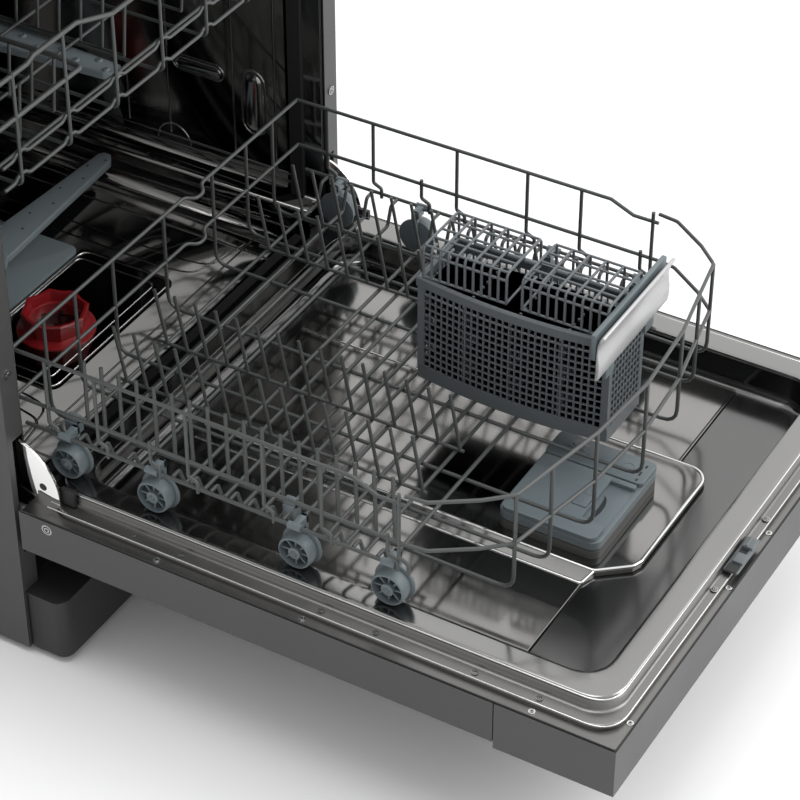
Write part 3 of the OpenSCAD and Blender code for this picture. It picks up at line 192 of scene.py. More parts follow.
# Skins a row of closed edge loops, each with the next
def bridgeLoops(bm, loops):
    for a, b in zip(loops, loops[1:]):
        bmesh.ops.bridge_loops(bm, edges=a + b)


def bevelEdges(bm, edges, width, steps):
    bmesh.ops.bevel(bm, geom=edges, offset=width / 1000, offset_type="OFFSET", segments=steps, profile=0.5,
                    affect="EDGES", clamp_overlap=True, material=-1)


# A block with rounded upright edges
def addPlate(bm, low, high, radius, steps=6):
    chosen = set(addBlock(bm, low, high))
    upright = [e for e in bm.edges if set(e.verts) <= chosen and
               abs((e.verts[0].co - e.verts[1].co).normalized().z) > 0.99]
    bevelEdges(bm, upright, radius, steps)


def soften(bm, width, steps=2, limit=32):
    least = math.radians(limit)
    edges = [e for e in bm.edges if len(e.link_faces) == 2 and e.calc_face_angle(0) > least]
    bevelEdges(bm, edges, width, steps)


# Turns a mesh into a piece that rides on its body
def placeMesh(mesh, name, body, material, standsFor=(), sharp=38):
    for face in mesh.polygons:
        face.use_smooth = True
    mesh.set_sharp_from_angle(angle=math.radians(sharp))
    mesh.materials.clear()
    mesh.materials.append(finishes[material])
    piece = bpy.data.objects.new(name, mesh)
    bpy.context.scene.collection.objects.link(piece)
    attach(piece, body)
    if standsFor:
        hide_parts(*standsFor)
    return piece


def place(bm, name, body, material, standsFor=(), sharp=38):
    mesh = bpy.data.meshes.new(name)
    bm.normal_update()
    bm.to_mesh(mesh)
    bm.free()
    return placeMesh(mesh, name, body, material, standsFor, sharp)


# Gives an open pressing the thickness of its sheet
def thicken(piece, thickness):
    sheet = piece.modifiers.new("sheet", "SOLIDIFY")
    sheet.thickness, sheet.offset = thickness / 1000, -1


def onCircle(middle, radius, degrees):
    turn = math.radians(degrees)
    return middle[0] + radius * math.cos(turn), middle[1] + radius * math.sin(turn)


# Points of a bent line with its corners rounded
def rounded(points, radius, steps=4):
    points = [Vector(p) for p in points]
    made = [points[0]]
    for before, corner, after in zip(points, points[1:], points[2:]):
        toBefore, toAfter = before - corner, after - corner
        angle = toBefore.angle(toAfter, math.pi)
        if angle > math.radians(176):
            made.append(corner)
            continue
        cut = min(radius / math.tan(angle / 2), 0.46 * toBefore.length, 0.46 * toAfter.length)
        a, b = corner + toBefore.normalized() * cut, corner + toAfter.normalized() * cut
        for i in range(steps + 1):
            t = i / steps
            made.append(a * (1 - t) ** 2 + corner * 2 * t * (1 - t) + b * t ** 2)
    return made + [points[-1]]


# Wires of one thickness, each a list of points, as one piece of round tubes
def placeWires(name, wires, thickness, bendRadius, body, material, standsFor=(), roundness=3):
    curve = bpy.data.curves.new(name, "CURVE")
    curve.dimensions = "3D"
    curve.bevel_depth = thickness / 2000
    curve.bevel_resolution = roundness
    curve.use_fill_caps = True
    for wire in wires:
        line = rounded([tuple(p) for p in wire], bendRadius)
        spline = curve.splines.new("POLY")
        spline.points.add(len(line) - 1)
        for spot, p in zip(spline.points, line):
            spot.co = (*point(*p), 1)
    holder = bpy.data.objects.new(name, curve)
    bpy.context.scene.collection.objects.link(holder)
    graph = bpy.context.evaluated_depsgraph_get()
    mesh = bpy.data.meshes.new_from_object(holder.evaluated_get(graph))
    bpy.data.objects.remove(holder)
    mesh.name = name
    return placeMesh(mesh, name, body, material, standsFor)


# Steps a face inward at the sides, the tip and the hinge end, and up or down
def stepIn(bm, face, inX, inTip, inStart, rise):
    middle = sum((v.co.y for v in face.verts)) / len(face.verts)
    made = bmesh.ops.extrude_face_region(bm, geom=[face])
    newFace = next(g for g in made["geom"] if isinstance(g, bmesh.types.BMFace))
    if face.is_valid:
        bmesh.ops.delete(bm, geom=[face], context="FACES_ONLY")
    for v in newFace.verts:
        v.co.x -= math.copysign(inX / 1000, v.co.x)
        v.co.y += inTip / 1000 if v.co.y < middle else -inStart / 1000
        v.co.z += rise / 1000
    return newFace


def roundedFace(bm, low, high, z, radius, steps=8):
    (x0, y0), (x1, y1) = (value + radius for value in low), (value - radius for value in high)
    corners = [((x0, y0), 180), ((x1, y0), 270), ((x1, y1), 0), ((x0, y1), 90)]
    spots = [onCircle(middle, radius, start + 90 * i / steps)
             for middle, start in corners for i in range(steps + 1)]
    return bm.faces.new([bm.verts.new(point(x, y, z)) for x, y in spots])


# door liner; its rings give half width, tip, hinge end and height
doorLiner = {
    "cornerRadius": 30, "sheet": 1.1,
    "rimRings": [
        (286.8, 635.8, 24.5, 190.0), (286.4, 635.4, 24.5, 193.2), (285.4, 634.6, 25.2, 194.8),
        (284.2, 633.6, 26.4, 195.2), (273.6, 628.0, 27.4, 195.0), (271.4, 626.4, 26.2, 195.8),
        (270.4, 625.6, 25.4, 197.4), (270.0, 625.0, 25.0, 206.6)],
    "ledgeRings": [
        (270.0, 625.0, 25.0, 206.4), (269.2, 624.3, 25.5, 208.6), (267.4, 622.8, 27.0, 209.9),
        (265.0, 620.6, 29.0, 209.9), (263.8, 619.4, 29.6, 209.9), (247.4, 602.2, 39.2, 209.6),
        (246.0, 600.8, 40.0, 209.4), (243.8, 598.8, 41.6, 208.6), (243.2, 598.2, 42.0, 207.6),
        (242.8, 597.8, 42.4, 206.4)],
    "recessRings": [
        (242.8, 597.8, 42.4, 206.4), (242.7, 597.7, 42.5, 204.8), (241.8, 596.8, 43.2, 183.4),
        (241.5, 596.5, 43.5, 181.4), (240.4, 595.4, 44.6, 176.6), (237.4, 592.4, 47.4, 173.4),
        (232.4, 587.4, 52.0, 172.1), (231.0, 586.0, 53.4, 172.0)],
    "lipHeight": 205, "lipHalfWidth": 243, "lipReach": 69, "lipStep": 0.4, "rimLipHalfWidth": 270,
    "rimLipReach": 45, "beads": [(269.4, 624.4, 208.4), (285.4, 634.7, 194.6)], "beadWidth": 1.7,
    "beadStart": 30, "beadSteps": 10,
}


def addRings(bm, rings):
    x, tip, start, z = rings[0]
    face = roundedFace(bm, (-x, -tip), (x, -start), z, doorLiner["cornerRadius"])
    for (x0, tip0, start0, z0), (x1, tip1, start1, z1) in zip(rings, rings[1:]):
        face = stepIn(bm, face, x0 - x1, tip0 - tip1, start1 - start0, z1 - z0)
    return face


def addOpenRings(bm, rings):
    bmesh.ops.delete(bm, geom=[addRings(bm, rings)], context="FACES_ONLY")


# The lowered lip at the hinge end lets the wheel flanges through
def lowerLip(bm, halfWidth, reach):
    for v in bm.verts:
        if abs(v.co.x) < halfWidth / 1000 and v.co.y > (frameShift - reach) / 1000:
            v.co.z = min(v.co.z, doorLiner["lipHeight"] / 1000)


def makeLinerRim():
    d = doorLiner
    bm = bmesh.new()
    addOpenRings(bm, d["rimRings"])
    lowerLip(bm, d["rimLipHalfWidth"], d["rimLipReach"])
    thicken(place(bm, "linerRim", "door", "rimSteel"), d["sheet"])
    beads = []
    for x, tip, z in d["beads"]:
        line = [(x, -d["beadStart"], z), (x, -tip, z), (-x, -tip, z), (-x, -d["beadStart"], z)]
        beads.append(rounded(line, d["cornerRadius"], d["beadSteps"]))
    placeWires("linerBeads", beads, d["beadWidth"], crisp, "door", "highlightAndBrightSteel")


makeLinerRim()


def makeLinerLedge():
    d = doorLiner
    bm = bmesh.new()
    addOpenRings(bm, d["ledgeRings"])
    for side in (-1, 1):
        for x in (d["lipHalfWidth"] - d["lipStep"], d["lipHalfWidth"] + d["lipStep"]):
            bmesh.ops.bisect_plane(bm, geom=bm.verts[:] + bm.edges[:] + bm.faces[:],
                                   plane_co=(side * x / 1000, 0, 0), plane_no=(1, 0, 0))
    lowerLip(bm, d["lipHalfWidth"], d["lipReach"])
    thicken(place(bm, "linerLedge", "door", "ledgeSteel", ["door_liner"]), d["sheet"])


makeLinerLedge()

linerFlange = {
    "x": 297.4, "tip": 642.4, "start": 8, "z": 188.8, "thickness": 1.2, "corner": 2, "cornerSteps": 2,
    "width": 33, "startWidth": 40, "gap": 0.7, "gapWidth": 1.3,
}


def makeLinerFlange():
    f = linerFlange
    start, top = -f["start"], f["z"] + f["thickness"]
    bm = bmesh.new()
    whole = roundedFace(bm, (-f["x"], -f["tip"]), (f["x"], start), top, f["corner"], f["cornerSteps"])
    inner = stepIn(bm, whole, f["width"], f["width"], f["startWidth"], 0)
    bmesh.ops.delete(bm, geom=[inner], context="FACES_ONLY")
    bmesh.ops.solidify(bm, geom=bm.faces[:], thickness=f["thickness"] / 1000)
    place(bm, "linerFlange", "door", "rimSteel", sharp=20)
    x, tip = f["x"] + f["gap"], -f["tip"] - f["gap"]
    line = [(-x, start, top), (-x, tip, top), (x, tip, top), (x, start, top)]
    placeWires("linerGap", [line], f["gapWidth"], crisp, "door", "blackRubber")


makeLinerFlange()


def makeLinerRecess():
    d = doorLiner
    bm = bmesh.new()
    addRings(bm, d["recessRings"])
    lowerLip(bm, d["lipHalfWidth"], d["lipReach"])
    thicken(place(bm, "linerRecess", "door", "recessShadeSteel"), d["sheet"])


makeLinerRecess()

plateau = {
    "near": -86, "far": 98, "tip": 547, "start": 78, "slab": 174.4, "top": 178.2, "floor": 171.4,
    "slabSide": 236, "slabTip": 510, "slope": 2.4, "cut": (28, 33), "cutBlend": (6, 4), "corner": 20,
    "bandFoot": -105, "bandLap": 0.5, "bandSink": 0.3, "bandTip": 5, "bead": 4.4, "beadSink": 1.2,
    "beadBend": 8, "lowBead": 3.2, "lowBeadEnd": 1.8, "lowBend": 3, "fold": 1.6, "foldSink": 0.6,
    "foldTrim": 2,
}


# Quarter round corner of an outline that ends at x and tip
def roundedCorner(x, tip, radius, steps=8):
    return [onCircle((x - radius, tip - radius), radius, 90 * i / steps) for i in range(steps + 1)]


def makePlateau():
    p = plateau
    near, far, foot, side = p["near"], p["far"], p["bandFoot"], p["slabSide"]
    start, tip, slabTip, slab, top = -p["start"], -p["tip"], -p["slabTip"], p["slab"], p["top"]
    bm = bmesh.new()
    section = [(start, p["floor"]), (start, slab), (slabTip, slab), (slabTip - p["slope"], p["floor"])]
    addPrism(bm, [(-side, y, z) for y, z in section], (2 * side, 0, 0))
    place(bm, "linerSlab", "door", "slabSteel", sharp=8)
    bm = bmesh.new()
    (cutX, cutY), (blendBefore, blendAfter) = p["cut"], p["cutBlend"]
    outline = [(near, start), (far, start)] + [(x, -y) for x, y in roundedCorner(far, -tip, p["corner"])]
    outline += [(near + cutX + blendBefore, tip), (near + cutX - blendAfter, tip + blendAfter),
                (near, tip + cutY)]
    addPrism(bm, [(x, y, p["floor"]) for x, y in outline], (0, 0, top - p["floor"]))
    place(bm, "linerPlateau", "door", "slabSteel", sharp=20)
    bm = bmesh.new()
    lap, high = near + p["bandLap"], top - p["bandSink"]
    bandTip = slabTip - p["bandTip"]
    band = [(foot, start, slab), (lap, start, high), (lap, bandTip, high), (foot, slabTip, slab)]
    for v in addPrism(bm, band, (0, 0, -1)):
        v.co.z = p["floor"] / 1000
    place(bm, "linerPlateauBand", "door", "ledgeSteel", sharp=20)
    z = top - p["beadSink"]
    edge = [(x, y, z) for x, y in outline[1:]] + [(near, start, z)]
    placeWires("linerPlateauEdge", [edge], p["bead"], p["beadBend"], "door", "highlightAndBrightSteel")
    z = slab - p["foldSink"]
    line = [(foot, start, z + p["bandSink"]), (foot, slabTip, z + p["bandSink"]),
            (near, tip + cutY, top - p["lowBeadEnd"])]
    placeWires("linerBandEdge", [line], p["lowBead"], p["lowBend"], "door", "highlightAndBrightSteel")
    trim = p["foldTrim"]
    folds = [[(foot, slabTip, z), (trim - side, slabTip, z)],
             [(far, slabTip - trim, z), (side - trim, slabTip - trim, z)]]
    placeWires("linerFolds", folds, p["fold"], p["lowBend"], "door", "slabSteel")


makePlateau()
print("door liner made")


# lower rack; places along it are shares of its length from the back
lowerRack = {
    "wire": 3.9, "back": 21, "length": 427, "bulge": 112, "plane": 253, "top": 344, "middle": 288,
    "runner": 259, "floor": 237, "long": 232.8, "jogTop": 270, "jogLow": 265.5, "jogStep": 10, "foot": 254,
    "posts": [0.087, 0.22, 0.457, 0.651, 0.796, 0.985], "stubs": [0.358, 0.958], "stubRise": 5,
    "cross": [0.087, 0.16, 0.22, 0.29, 0.41, 0.457, 0.51, 0.56, 0.605, 0.651, 0.695, 0.77, 0.82, 0.87, 0.93],
    "front": [(1, 0.0), (0.99, 0.19), (0.886, 0.535), (0.8, 0.745), (0.6, 0.83), (0.35, 0.94), (0, 1)],
    "eaveIn": 14, "floorIn": 21.5, "dipAt": (-352, -378), "dip": 11, "runnerTrim": 9,
    "notch": (38, 46, 60, 68), "notchIn": 9, "notchDip": 3, "floorBend": 5, "uprightBend": 16,
    "sideBend": 4, "endBend": 12,
}


def placeRackWires(name, wires, bendRadius, standsFor=()):
    placeWires(name, wires, lowerRack["wire"], bendRadius, "lower_rack", "wireCoat", standsFor)


# The bowed front rail at a height
def frontRail(z):
    r = lowerRack
    half = [(-s * r["plane"], r["back"] - r["length"] - b * r["bulge"], z) for s, b in r["front"]]
    return half + [(-x, y, z) for x, y, z in reversed(half[:-1])]


# An upright of the side grids, with its jog over the runner
def joggedPost(x, share, top):
    r = lowerRack
    y = r["back"] - share * r["length"]
    lower = y - r["jogStep"]
    return [(x, y, top), (x, y, r["jogTop"]), (x, lower, r["jogLow"]), (x, lower, r["foot"])]


def makeLowerRack():
    r = lowerRack
    back, front, plane = r["back"], r["back"] - r["length"], r["plane"]
    floorWires = []
    for share in r["cross"]:
        y = back - share * r["length"]
        near = [(-plane + r["wire"] / 2, y, r["runner"]), (-plane + r["eaveIn"], y, r["runner"]),
                (-plane + r["floorIn"], y, r["floor"])]
        floorWires.append(near + [(-x, y, z) for x, y, z in reversed(near)])
    placeRackWires("lowerRackFloorCross", floorWires, r["floorBend"], ["lower_rack_floor"])
    uprights = []
    for share, bulge in r["front"][3:]:
        for side in ((-1, 1) if share else (1,)):
            x, y = side * share * plane, front - bulge * r["bulge"]
            uprights.append([(x, back, r["top"]), (x, back, r["long"]), (x, y, r["long"]), (x, y, r["top"])])
    placeRackWires("lowerRackFrontUprights", uprights, r["uprightBend"], ["lower_rack_ends"])
    rails, trim = [], r["runnerTrim"]
    for x in (-plane, plane):
        dipLine = [(x, r["dipAt"][0], r["top"]), (x, r["dipAt"][1], r["top"] - r["dip"])]
        rails.append([(x, back, r["top"])] + dipLine + [(x, front, r["top"] - r["dip"])])
        rails.append([(x, back, r["middle"]), (x, front, r["middle"])])
        rails.append([(x, back - trim, r["runner"]), (x, front + trim, r["runner"])])
        rails += [joggedPost(x, share, r["top"]) for share in r["posts"]]
        rails += [joggedPost(x, share, r["middle"] + r["stubRise"]) for share in r["stubs"]]
    placeRackWires("lowerRackSideGrids", rails, r["sideBend"], ["lower_rack_sides"])
    ends = [frontRail(r["top"]), frontRail(r["middle"])]
    x0, x1, x2, x3 = r["notch"]
    notchY = back - r["notchIn"]
    for z in (r["top"], r["middle"]):
        low = z - r["notchDip"]
        ends.append([(-plane, back, z), (x0, back, z), (x1, notchY, low), (x2, notchY, low), (x3, back, z),
                     (plane, back, z)])
    placeRackWires("lowerRackEndRails", ends, r["endBend"])


makeLowerRack()

tineRows = {
    "thickness": 3.6, "height": 62, "pitch": 24, "lean": 12, "z": 241.05, "rows": [-133, -62, 128, 196],
    "start": -8, "length": 352, "bend": 3,
    "fold": {"x": -222, "z": 256.05, "start": -14, "length": 384, "pitch": 20, "tilt": 15, "thickness": 3.9,
             "endLeans": 3},
}


def makeTines():
    t = tineRows
    lean, height, z = t["lean"], t["height"], t["z"]
    wires = []
    for x in t["rows"]:
        wires.append([(x, t["start"], z), (x, t["start"] - t["length"], z)])
        for i in range(int((t["length"] - lean) / t["pitch"]) + 1):
            y = t["start"] - i * t["pitch"]
            wires.append([(x, y - lean, z), (x, y, z + height)])
    placeWires("lowerRackTineRows", wires, t["thickness"], t["bend"], "lower_rack", "wireCoat",
               ["lower_rack_tines"])
    f = t["fold"]
    x, z, tilt = f["x"], f["z"], math.radians(f["tilt"])
    tipX, tipZ = x + math.sin(tilt) * height, z + math.cos(tilt) * height
    wires = []
    for i in range(int((f["length"] - f["endLeans"] * lean) / f["pitch"]) + 1):
        y = f["start"] - lean - i * f["pitch"]
        wires.append([(x, y - lean, z), (tipX, y, tipZ)])
    wires.append([(x, f["start"], z), (x, f["start"] - f["length"], z)])
    placeWires("foldingTineRow", wires, f["thickness"], t["bend"], "fold_row", "wireCoat",
               ["folding_tines"])


makeTines()
print("lower rack made")

wheels = {
    "ys": [-34.0, -133.0, -290.0, -389.0], "z": 228.3, "tread": 242.7, "width": 14, "flange": 3,
    # half section from the inner flange to the open outer face: distance from the middle plane, radius
    "section": [(-3, 3.1), (-3, 19.8), (-2.5, 21), (-0.8, 21), (-0.2, 20.2), (0, 17.4), (3, 17.9), (7, 18),
                (11, 17.7), (13.4, 16.9), (14, 16), (14, 15.4), (3, 14.6), (3, 6.4), (13.6, 6.4), (14, 5.6),
                (14, 3.1)],
    "segments": 48, "spokes": 8, "spokeOut": (6.4, 10.7), "spokeSize": (7.5, 1.8, 9.4),
}


def makeWheel(name, side, y):
    w = wheels
    bm = bmesh.new()
    middle = point(0, y, w["z"])
    verts = [bm.verts.new((side * (w["tread"] + x) / 1000, middle.y, middle.z + r / 1000))
             for x, r in w["section"]]
    bmesh.ops.spin(bm, geom=verts + joinedUp(bm, verts), cent=middle, axis=(1, 0, 0), angle=math.tau,
                   steps=w["segments"], use_merge=True, use_duplicate=False)
    bmesh.ops.remove_doubles(bm, verts=bm.verts, dist=1e-6)
    bmesh.ops.recalc_face_normals(bm, faces=bm.faces)
    along, out = w["spokeOut"]
    for i in range(w["spokes"]):
        addTurnedBlock(bm, middle, "X", i * math.tau / w["spokes"], (side * (w["tread"] + along), 0, out),
                       w["spokeSize"])
    place(bm, name, name, "greyPlastic", [name], sharp=34)


for index, wheelY in enumerate(wheels["ys"]):
    makeWheel(f"wheel_left_{index + 1}", -1, wheelY)
    makeWheel(f"wheel_right_{index + 1}", 1, wheelY)

# wheel brackets: an axle with a cross-shaped snap end, a leg, an arm and a saddle on the rail
rackClips = {
    "pin": 2.9, "pinIn": 1, "pinOut": 0.8, "cross": [(0.8, 2.6), (2.6, 0.8)], "crossFrom": 0.5,
    "crossTo": 2.0, "legWidth": 7.5, "legThickness": 4.4, "legDrop": 7, "legTop": 262, "play": 0.3,
    "armX": 250.7, "armLow": 253, "saddleX": 253, "saddleZ": 259, "saddleHalf": 7, "saddleRadius": 3.7,
    "saddleSides": 16, "edge": 1.0, "foldX": -222, "foldZ": 256.05, "foldYs": (-21, -267),
    "foldHalf": (7, 6), "foldLow": 239.4, "foldSink": 0.5, "foldRadius": 5.2, "foldSides": 20,
    "foldEdge": 0.8,
}


def makeRackClips():
    c, w = rackClips, wheels
    bm = bmesh.new()
    inner, outer = w["tread"] - w["flange"] - c["play"], w["tread"] + w["width"]
    legX, half = inner - c["legThickness"], c["legWidth"] / 2
    for side in (-1, 1):
        for y in w["ys"]:
            z = w["z"]
            addRod(bm, (side * (inner - c["pinIn"]), y, z), (side * (outer + c["pinOut"]), y, z), c["pin"])
            for halfY, halfZ in c["cross"]:
                addSideBlock(bm, side, (outer - c["crossFrom"], y - halfY, z - halfZ),
                             (outer + c["crossTo"], y + halfY, z + halfZ))
            addSideBlock(bm, side, (legX, y - half, z - c["legDrop"]), (inner, y + half, c["legTop"]))
            addSideBlock(bm, side, (legX, y - half, c["armLow"]), (c["armX"], y + half, c["legTop"]))
    soften(bm, c["edge"])
    for x in (-c["saddleX"], c["saddleX"]):
        for y in w["ys"]:
            addRod(bm, (x, y - c["saddleHalf"], c["saddleZ"]), (x, y + c["saddleHalf"], c["saddleZ"]),
                   c["saddleRadius"], c["saddleSides"])
    place(bm, "rackWheelBrackets", "lower_rack", "greyPlastic", ["rack_clips"])
    bm = bmesh.new()
    x, z, (halfX, halfY) = c["foldX"], c["foldZ"], c["foldHalf"]
    for y in c["foldYs"]:
        addBlock(bm, (x - halfX, y - halfY, c["foldLow"]), (x + halfX, y + halfY, z - c["foldSink"]))
        addRod(bm, (x, y - halfY, z), (x, y + halfY, z), c["foldRadius"], c["foldSides"])
    soften(bm, c["foldEdge"])
    place(bm, "foldRowClips", "lower_rack", "greyPlastic")


makeRackClips()
print("wheels and clips made")

basket = {
    "x": 55, "back": -262, "length": 208, "width": 70, "bottom": 239.75, "top": 360.75, "bow": 9,
    "wall": 2.2, "band": 16, "belt": 12, "beltOut": 1.6, "baseRise": 0.8, "overlap": 1, "columns": 28,
    "rows": 12, "bar": 1.5, "rowIn": 0.15, "pillar": 7, "pillarIn": 1.2, "pillarHalf": 2.6, "endColumns": 9,
    "endIn": 1.1, "endHalf": 1, "endMargin": 5, "cells": 4, "wallMargin": 2, "wallTop": 345, "wallBars": 4,
    "wallSpread": 4.2, "wallBarHalf": (0.9, 1.1), "wallRows": 9, "wallPitch": 12, "wallFoot": 4,
    "wallRowHalf": (1.0, 0.9),
}


def placeBasketPart(bm, name, body="cutlery_basket", standsFor=()):
    place(bm, name, body, "basketPlastic", standsFor)


# Half width of the bowed long walls at a share of the length
def bowedHalf(share):
    return basket["width"] / 2 + 4 * basket["bow"] * share * (1 - share)


# The basket's outline at a height, moved out by a distance
def basketLoop(bm, z, out, steps=24):
    x, back, length = basket["x"], basket["back"], basket["length"]
    verts = []
    for side, order in ((1, range(steps + 1)), (-1, range(steps, -1, -1))):
        for i in order:
            end = out if i == 0 else -out if i == steps else 0
            half = bowedHalf(i / steps) + out
            verts.append(bm.verts.new(point(x + side * half, back - i / steps * length + end, z)))
    return joinedUp(bm, verts)


# A closed band between two heights, a wall thick, that follows the basket's outline
def addBasketBand(bm, z0, z1, out, wall, crown=0.0):
    crest, inner = out + crown, out - wall
    profile = [(z0, out), (z0 + crown, crest), (z1 - crown, crest), (z1, out), (z1, inner), (z0, inner)]
    loops = [basketLoop(bm, z, o) for z, o in profile]
    bridgeLoops(bm, loops + loops[:1])


def makeBasket():
    b = basket
    x, back, length, bottom, wall = b["x"], b["back"], b["length"], b["bottom"], b["wall"]
    bm = bmesh.new()
    addBasketBand(bm, bottom, bottom + b["band"], 0, wall)
    addBasketBand(bm, b["top"] - b["belt"], b["top"], 0, wall, b["beltOut"])
    bmesh.ops.edgeloop_fill(bm, edges=basketLoop(bm, bottom + b["baseRise"], -wall / 2))
    bmesh.ops.recalc_face_normals(bm, faces=bm.faces)
    placeBasketPart(bm, "basketBands", standsFor=["basket_body"])
    bm = bmesh.new()
    z0, z1, bar = bottom + b["band"] - b["overlap"], b["top"] - b["belt"] + b["overlap"], b["bar"] / 2
    for side in (-1, 1):
        for i in range(b["columns"] + 1):
            share = (b["pillar"] + i * (length - 2 * b["pillar"]) / b["columns"]) / length
            y, wallX = back - share * length, x + side * (bowedHalf(share) - wall / 2)
            addBlock(bm, (wallX - wall / 2, y - bar, z0), (wallX + wall / 2, y + bar, z1))
        pillarX = x + side * (b["width"] / 2 - b["pillarIn"])
        for y in (back, back - length + b["pillar"]):
            addBlock(bm, (pillarX - b["pillarHalf"], y - b["pillar"], z0), (pillarX + b["pillarHalf"], y, z1))
    for y in (back - b["endIn"], back - length + b["endIn"]):
        for i in range(b["endColumns"] + 1):
            margin = b["endMargin"]
            barX = x - b["width"] / 2 + margin + i * (b["width"] - 2 * margin) / b["endColumns"]
            addBlock(bm, (barX - bar, y - b["endHalf"], z0), (barX + bar, y + b["endHalf"], z1))
    placeBasketPart(bm, "basketMeshUprights")
    bm = bmesh.new()
    for k in range(1, b["rows"]):
        z = z0 + k * (z1 - z0) / b["rows"]
        addBasketBand(bm, z - bar, z + bar, -b["rowIn"], wall - 2 * b["rowIn"])
    bmesh.ops.recalc_face_normals(bm, faces=bm.faces)
    placeBasketPart(bm, "basketMeshRows")
    bm = bmesh.new()
    (barX, barY), (rowY, rowZ) = b["wallBarHalf"], b["wallRowHalf"]
    for i in range(1, b["cells"]):
        y, half = back - i / b["cells"] * length, bowedHalf(i / b["cells"]) - b["wallMargin"]
        for j in range(-b["wallBars"], b["wallBars"] + 1):
            spot = x + j * half / b["wallSpread"]
            addBlock(bm, (spot - barX, y - barY, bottom), (spot + barX, y + barY, b["wallTop"]))
        for k in range(b["wallRows"]):
            z = bottom + b["wallFoot"] + k * b["wallPitch"]
            addBlock(bm, (x - half, y - rowY, z - rowZ), (x + half, y + rowY, z + rowZ))
    placeBasketPart(bm, "basketPartitions")


makeBasket()

basketLids = {
    "inset": 4, "gap": 14, "height": 37, "half": 36, "low": 361.05, "bar": 2.9, "columns": 4, "rows": 5,
    "round": 7, "roundness": 2, "legDown": 1, "legUp": 2, "shortReach": 10, "columnIn": 3, "railIn": 1.5,
    "railThinner": 0.3, "railBend": 2, "sillIn": 0.8, "sillDown": 0.3, "sideDown": 8, "endRise": 1.6,
    "barrel": 2.4, "barrelZ": 363.55, "barrels": 5, "barrelShare": 0.8, "barrelSides": 16,
}


def makeLid(name, body, node, back):
    d, x = basketLids, basket["x"]
    bar = d["bar"]
    length = (basket["length"] - 2 * d["inset"] - d["gap"]) / 2
    low, top = d["low"] + bar / 2, d["low"] + d["height"] - bar / 2
    near, far = x - d["half"] + bar / 2, x + d["half"] - bar / 2
    hoops, rails = [], []
    for i in range(d["rows"] * 2 + 1):
        y = back - bar / 2 - i * (length - bar) / (d["rows"] * 2)
        leg = [(near, y, low - d["legDown"]), (near, y, top)]
        full = [(far, y, top), (far, y, low + d["legUp"])]
        hoops.append(leg + ([(near + d["shortReach"], y, top)] if i % 2 else full))
    first, last = back - d["railIn"], back - length + d["railIn"]
    for i in range(d["columns"] + 1):
        railX = near + d["columnIn"] + i * (far - near - 2 * d["columnIn"]) / d["columns"]
        rails.append([(railX, first, top), (railX, last, top)])
    z = low - d["sillDown"]
    rails.append([(near, back - d["sillIn"], z), (near, back - length + d["sillIn"], z)])
    rails.append([(near, first, top - d["sideDown"]), (near, last, top - d["sideDown"])])
    rails += [[(near, y, low), (far, y, low + d["endRise"])] for y in (first, last)]
    placeWires(name + "Hoops", hoops, bar, d["round"], body, "basketPlastic", [node],
               roundness=d["roundness"])
    placeWires(name + "Rails", rails, bar - d["railThinner"], d["railBend"], body,
               "basketPlastic", roundness=d["roundness"])
    bm = bmesh.new()
    for i in range(d["barrels"]):
        y0, y1 = (back - (i + share) * length / d["barrels"] for share in (0, d["barrelShare"]))
        addRod(bm, (far, y0, d["barrelZ"]), (far, y1, d["barrelZ"]), d["barrel"], d["barrelSides"])
    placeBasketPart(bm, name + "Barrels", body)


makeLid("rearLid", "rear_lid", "basket_lid_rear", -266)
makeLid("frontLid", "front_lid", "basket_lid_front", -373)

basketHandle = {
    "left": -19.5, "right": 129.5, "face": -471.9, "low": 340.75, "edge": 0.9,
    # how far the front face stands out and how high, from the bottom edge to the top ridge
    "wave": [(1.2, 0.0), (3.4, 1.5), (4.2, 6), (4.8, 13), (4.6, 20), (3.6, 26), (3.0, 32), (3.6, 38),
             (5.6, 44), (8.2, 48.6), (8.9, 50.6), (8.2, 51.8), (6.6, 52), (5.0, 50.4), (3.2, 46), (1.6, 40),
             (0.9, 30), (0.9, 10), (0.2, 1)],
    # plastic blocks behind the face: the plate, its two legs and the grip's core
    "backing": [((-1.5, -472.8, 342.75), (111.5, -470.1, 368.75)),
                ((4.5, -472.9, 326.75), (22.5, -470.1, 362.75)),
                ((87.5, -472.9, 326.75), (105.5, -470.1, 362.75)),
                ((-18.9, -471.7, 363.75), (128.9, -466.5, 391.95))],
    "backingEdge": 0.8,
}


def makeHandle():
    h = basketHandle
    bm = bmesh.new()
    outline = [(h["left"], h["face"] - out, h["low"] + up) for out, up in h["wave"]]
    addPrism(bm, outline, (h["right"] - h["left"], 0, 0))
    ends = [e for e in bm.edges if abs(e.verts[0].co.x - e.verts[1].co.x) < 1e-6]
    bevelEdges(bm, ends, h["edge"], 2)
    place(bm, "basketHandlePlate", "cutlery_basket", "handleSilver", ["basket_handle"],
          sharp=50)
    bm = bmesh.new()
    for low, high in h["backing"]:
        addBlock(bm, low, high)
    soften(bm, h["backingEdge"])
    place(bm, "basketHandleBacking", "cutlery_basket", "greyPlastic")


makeHandle()
print("cutlery basket made")

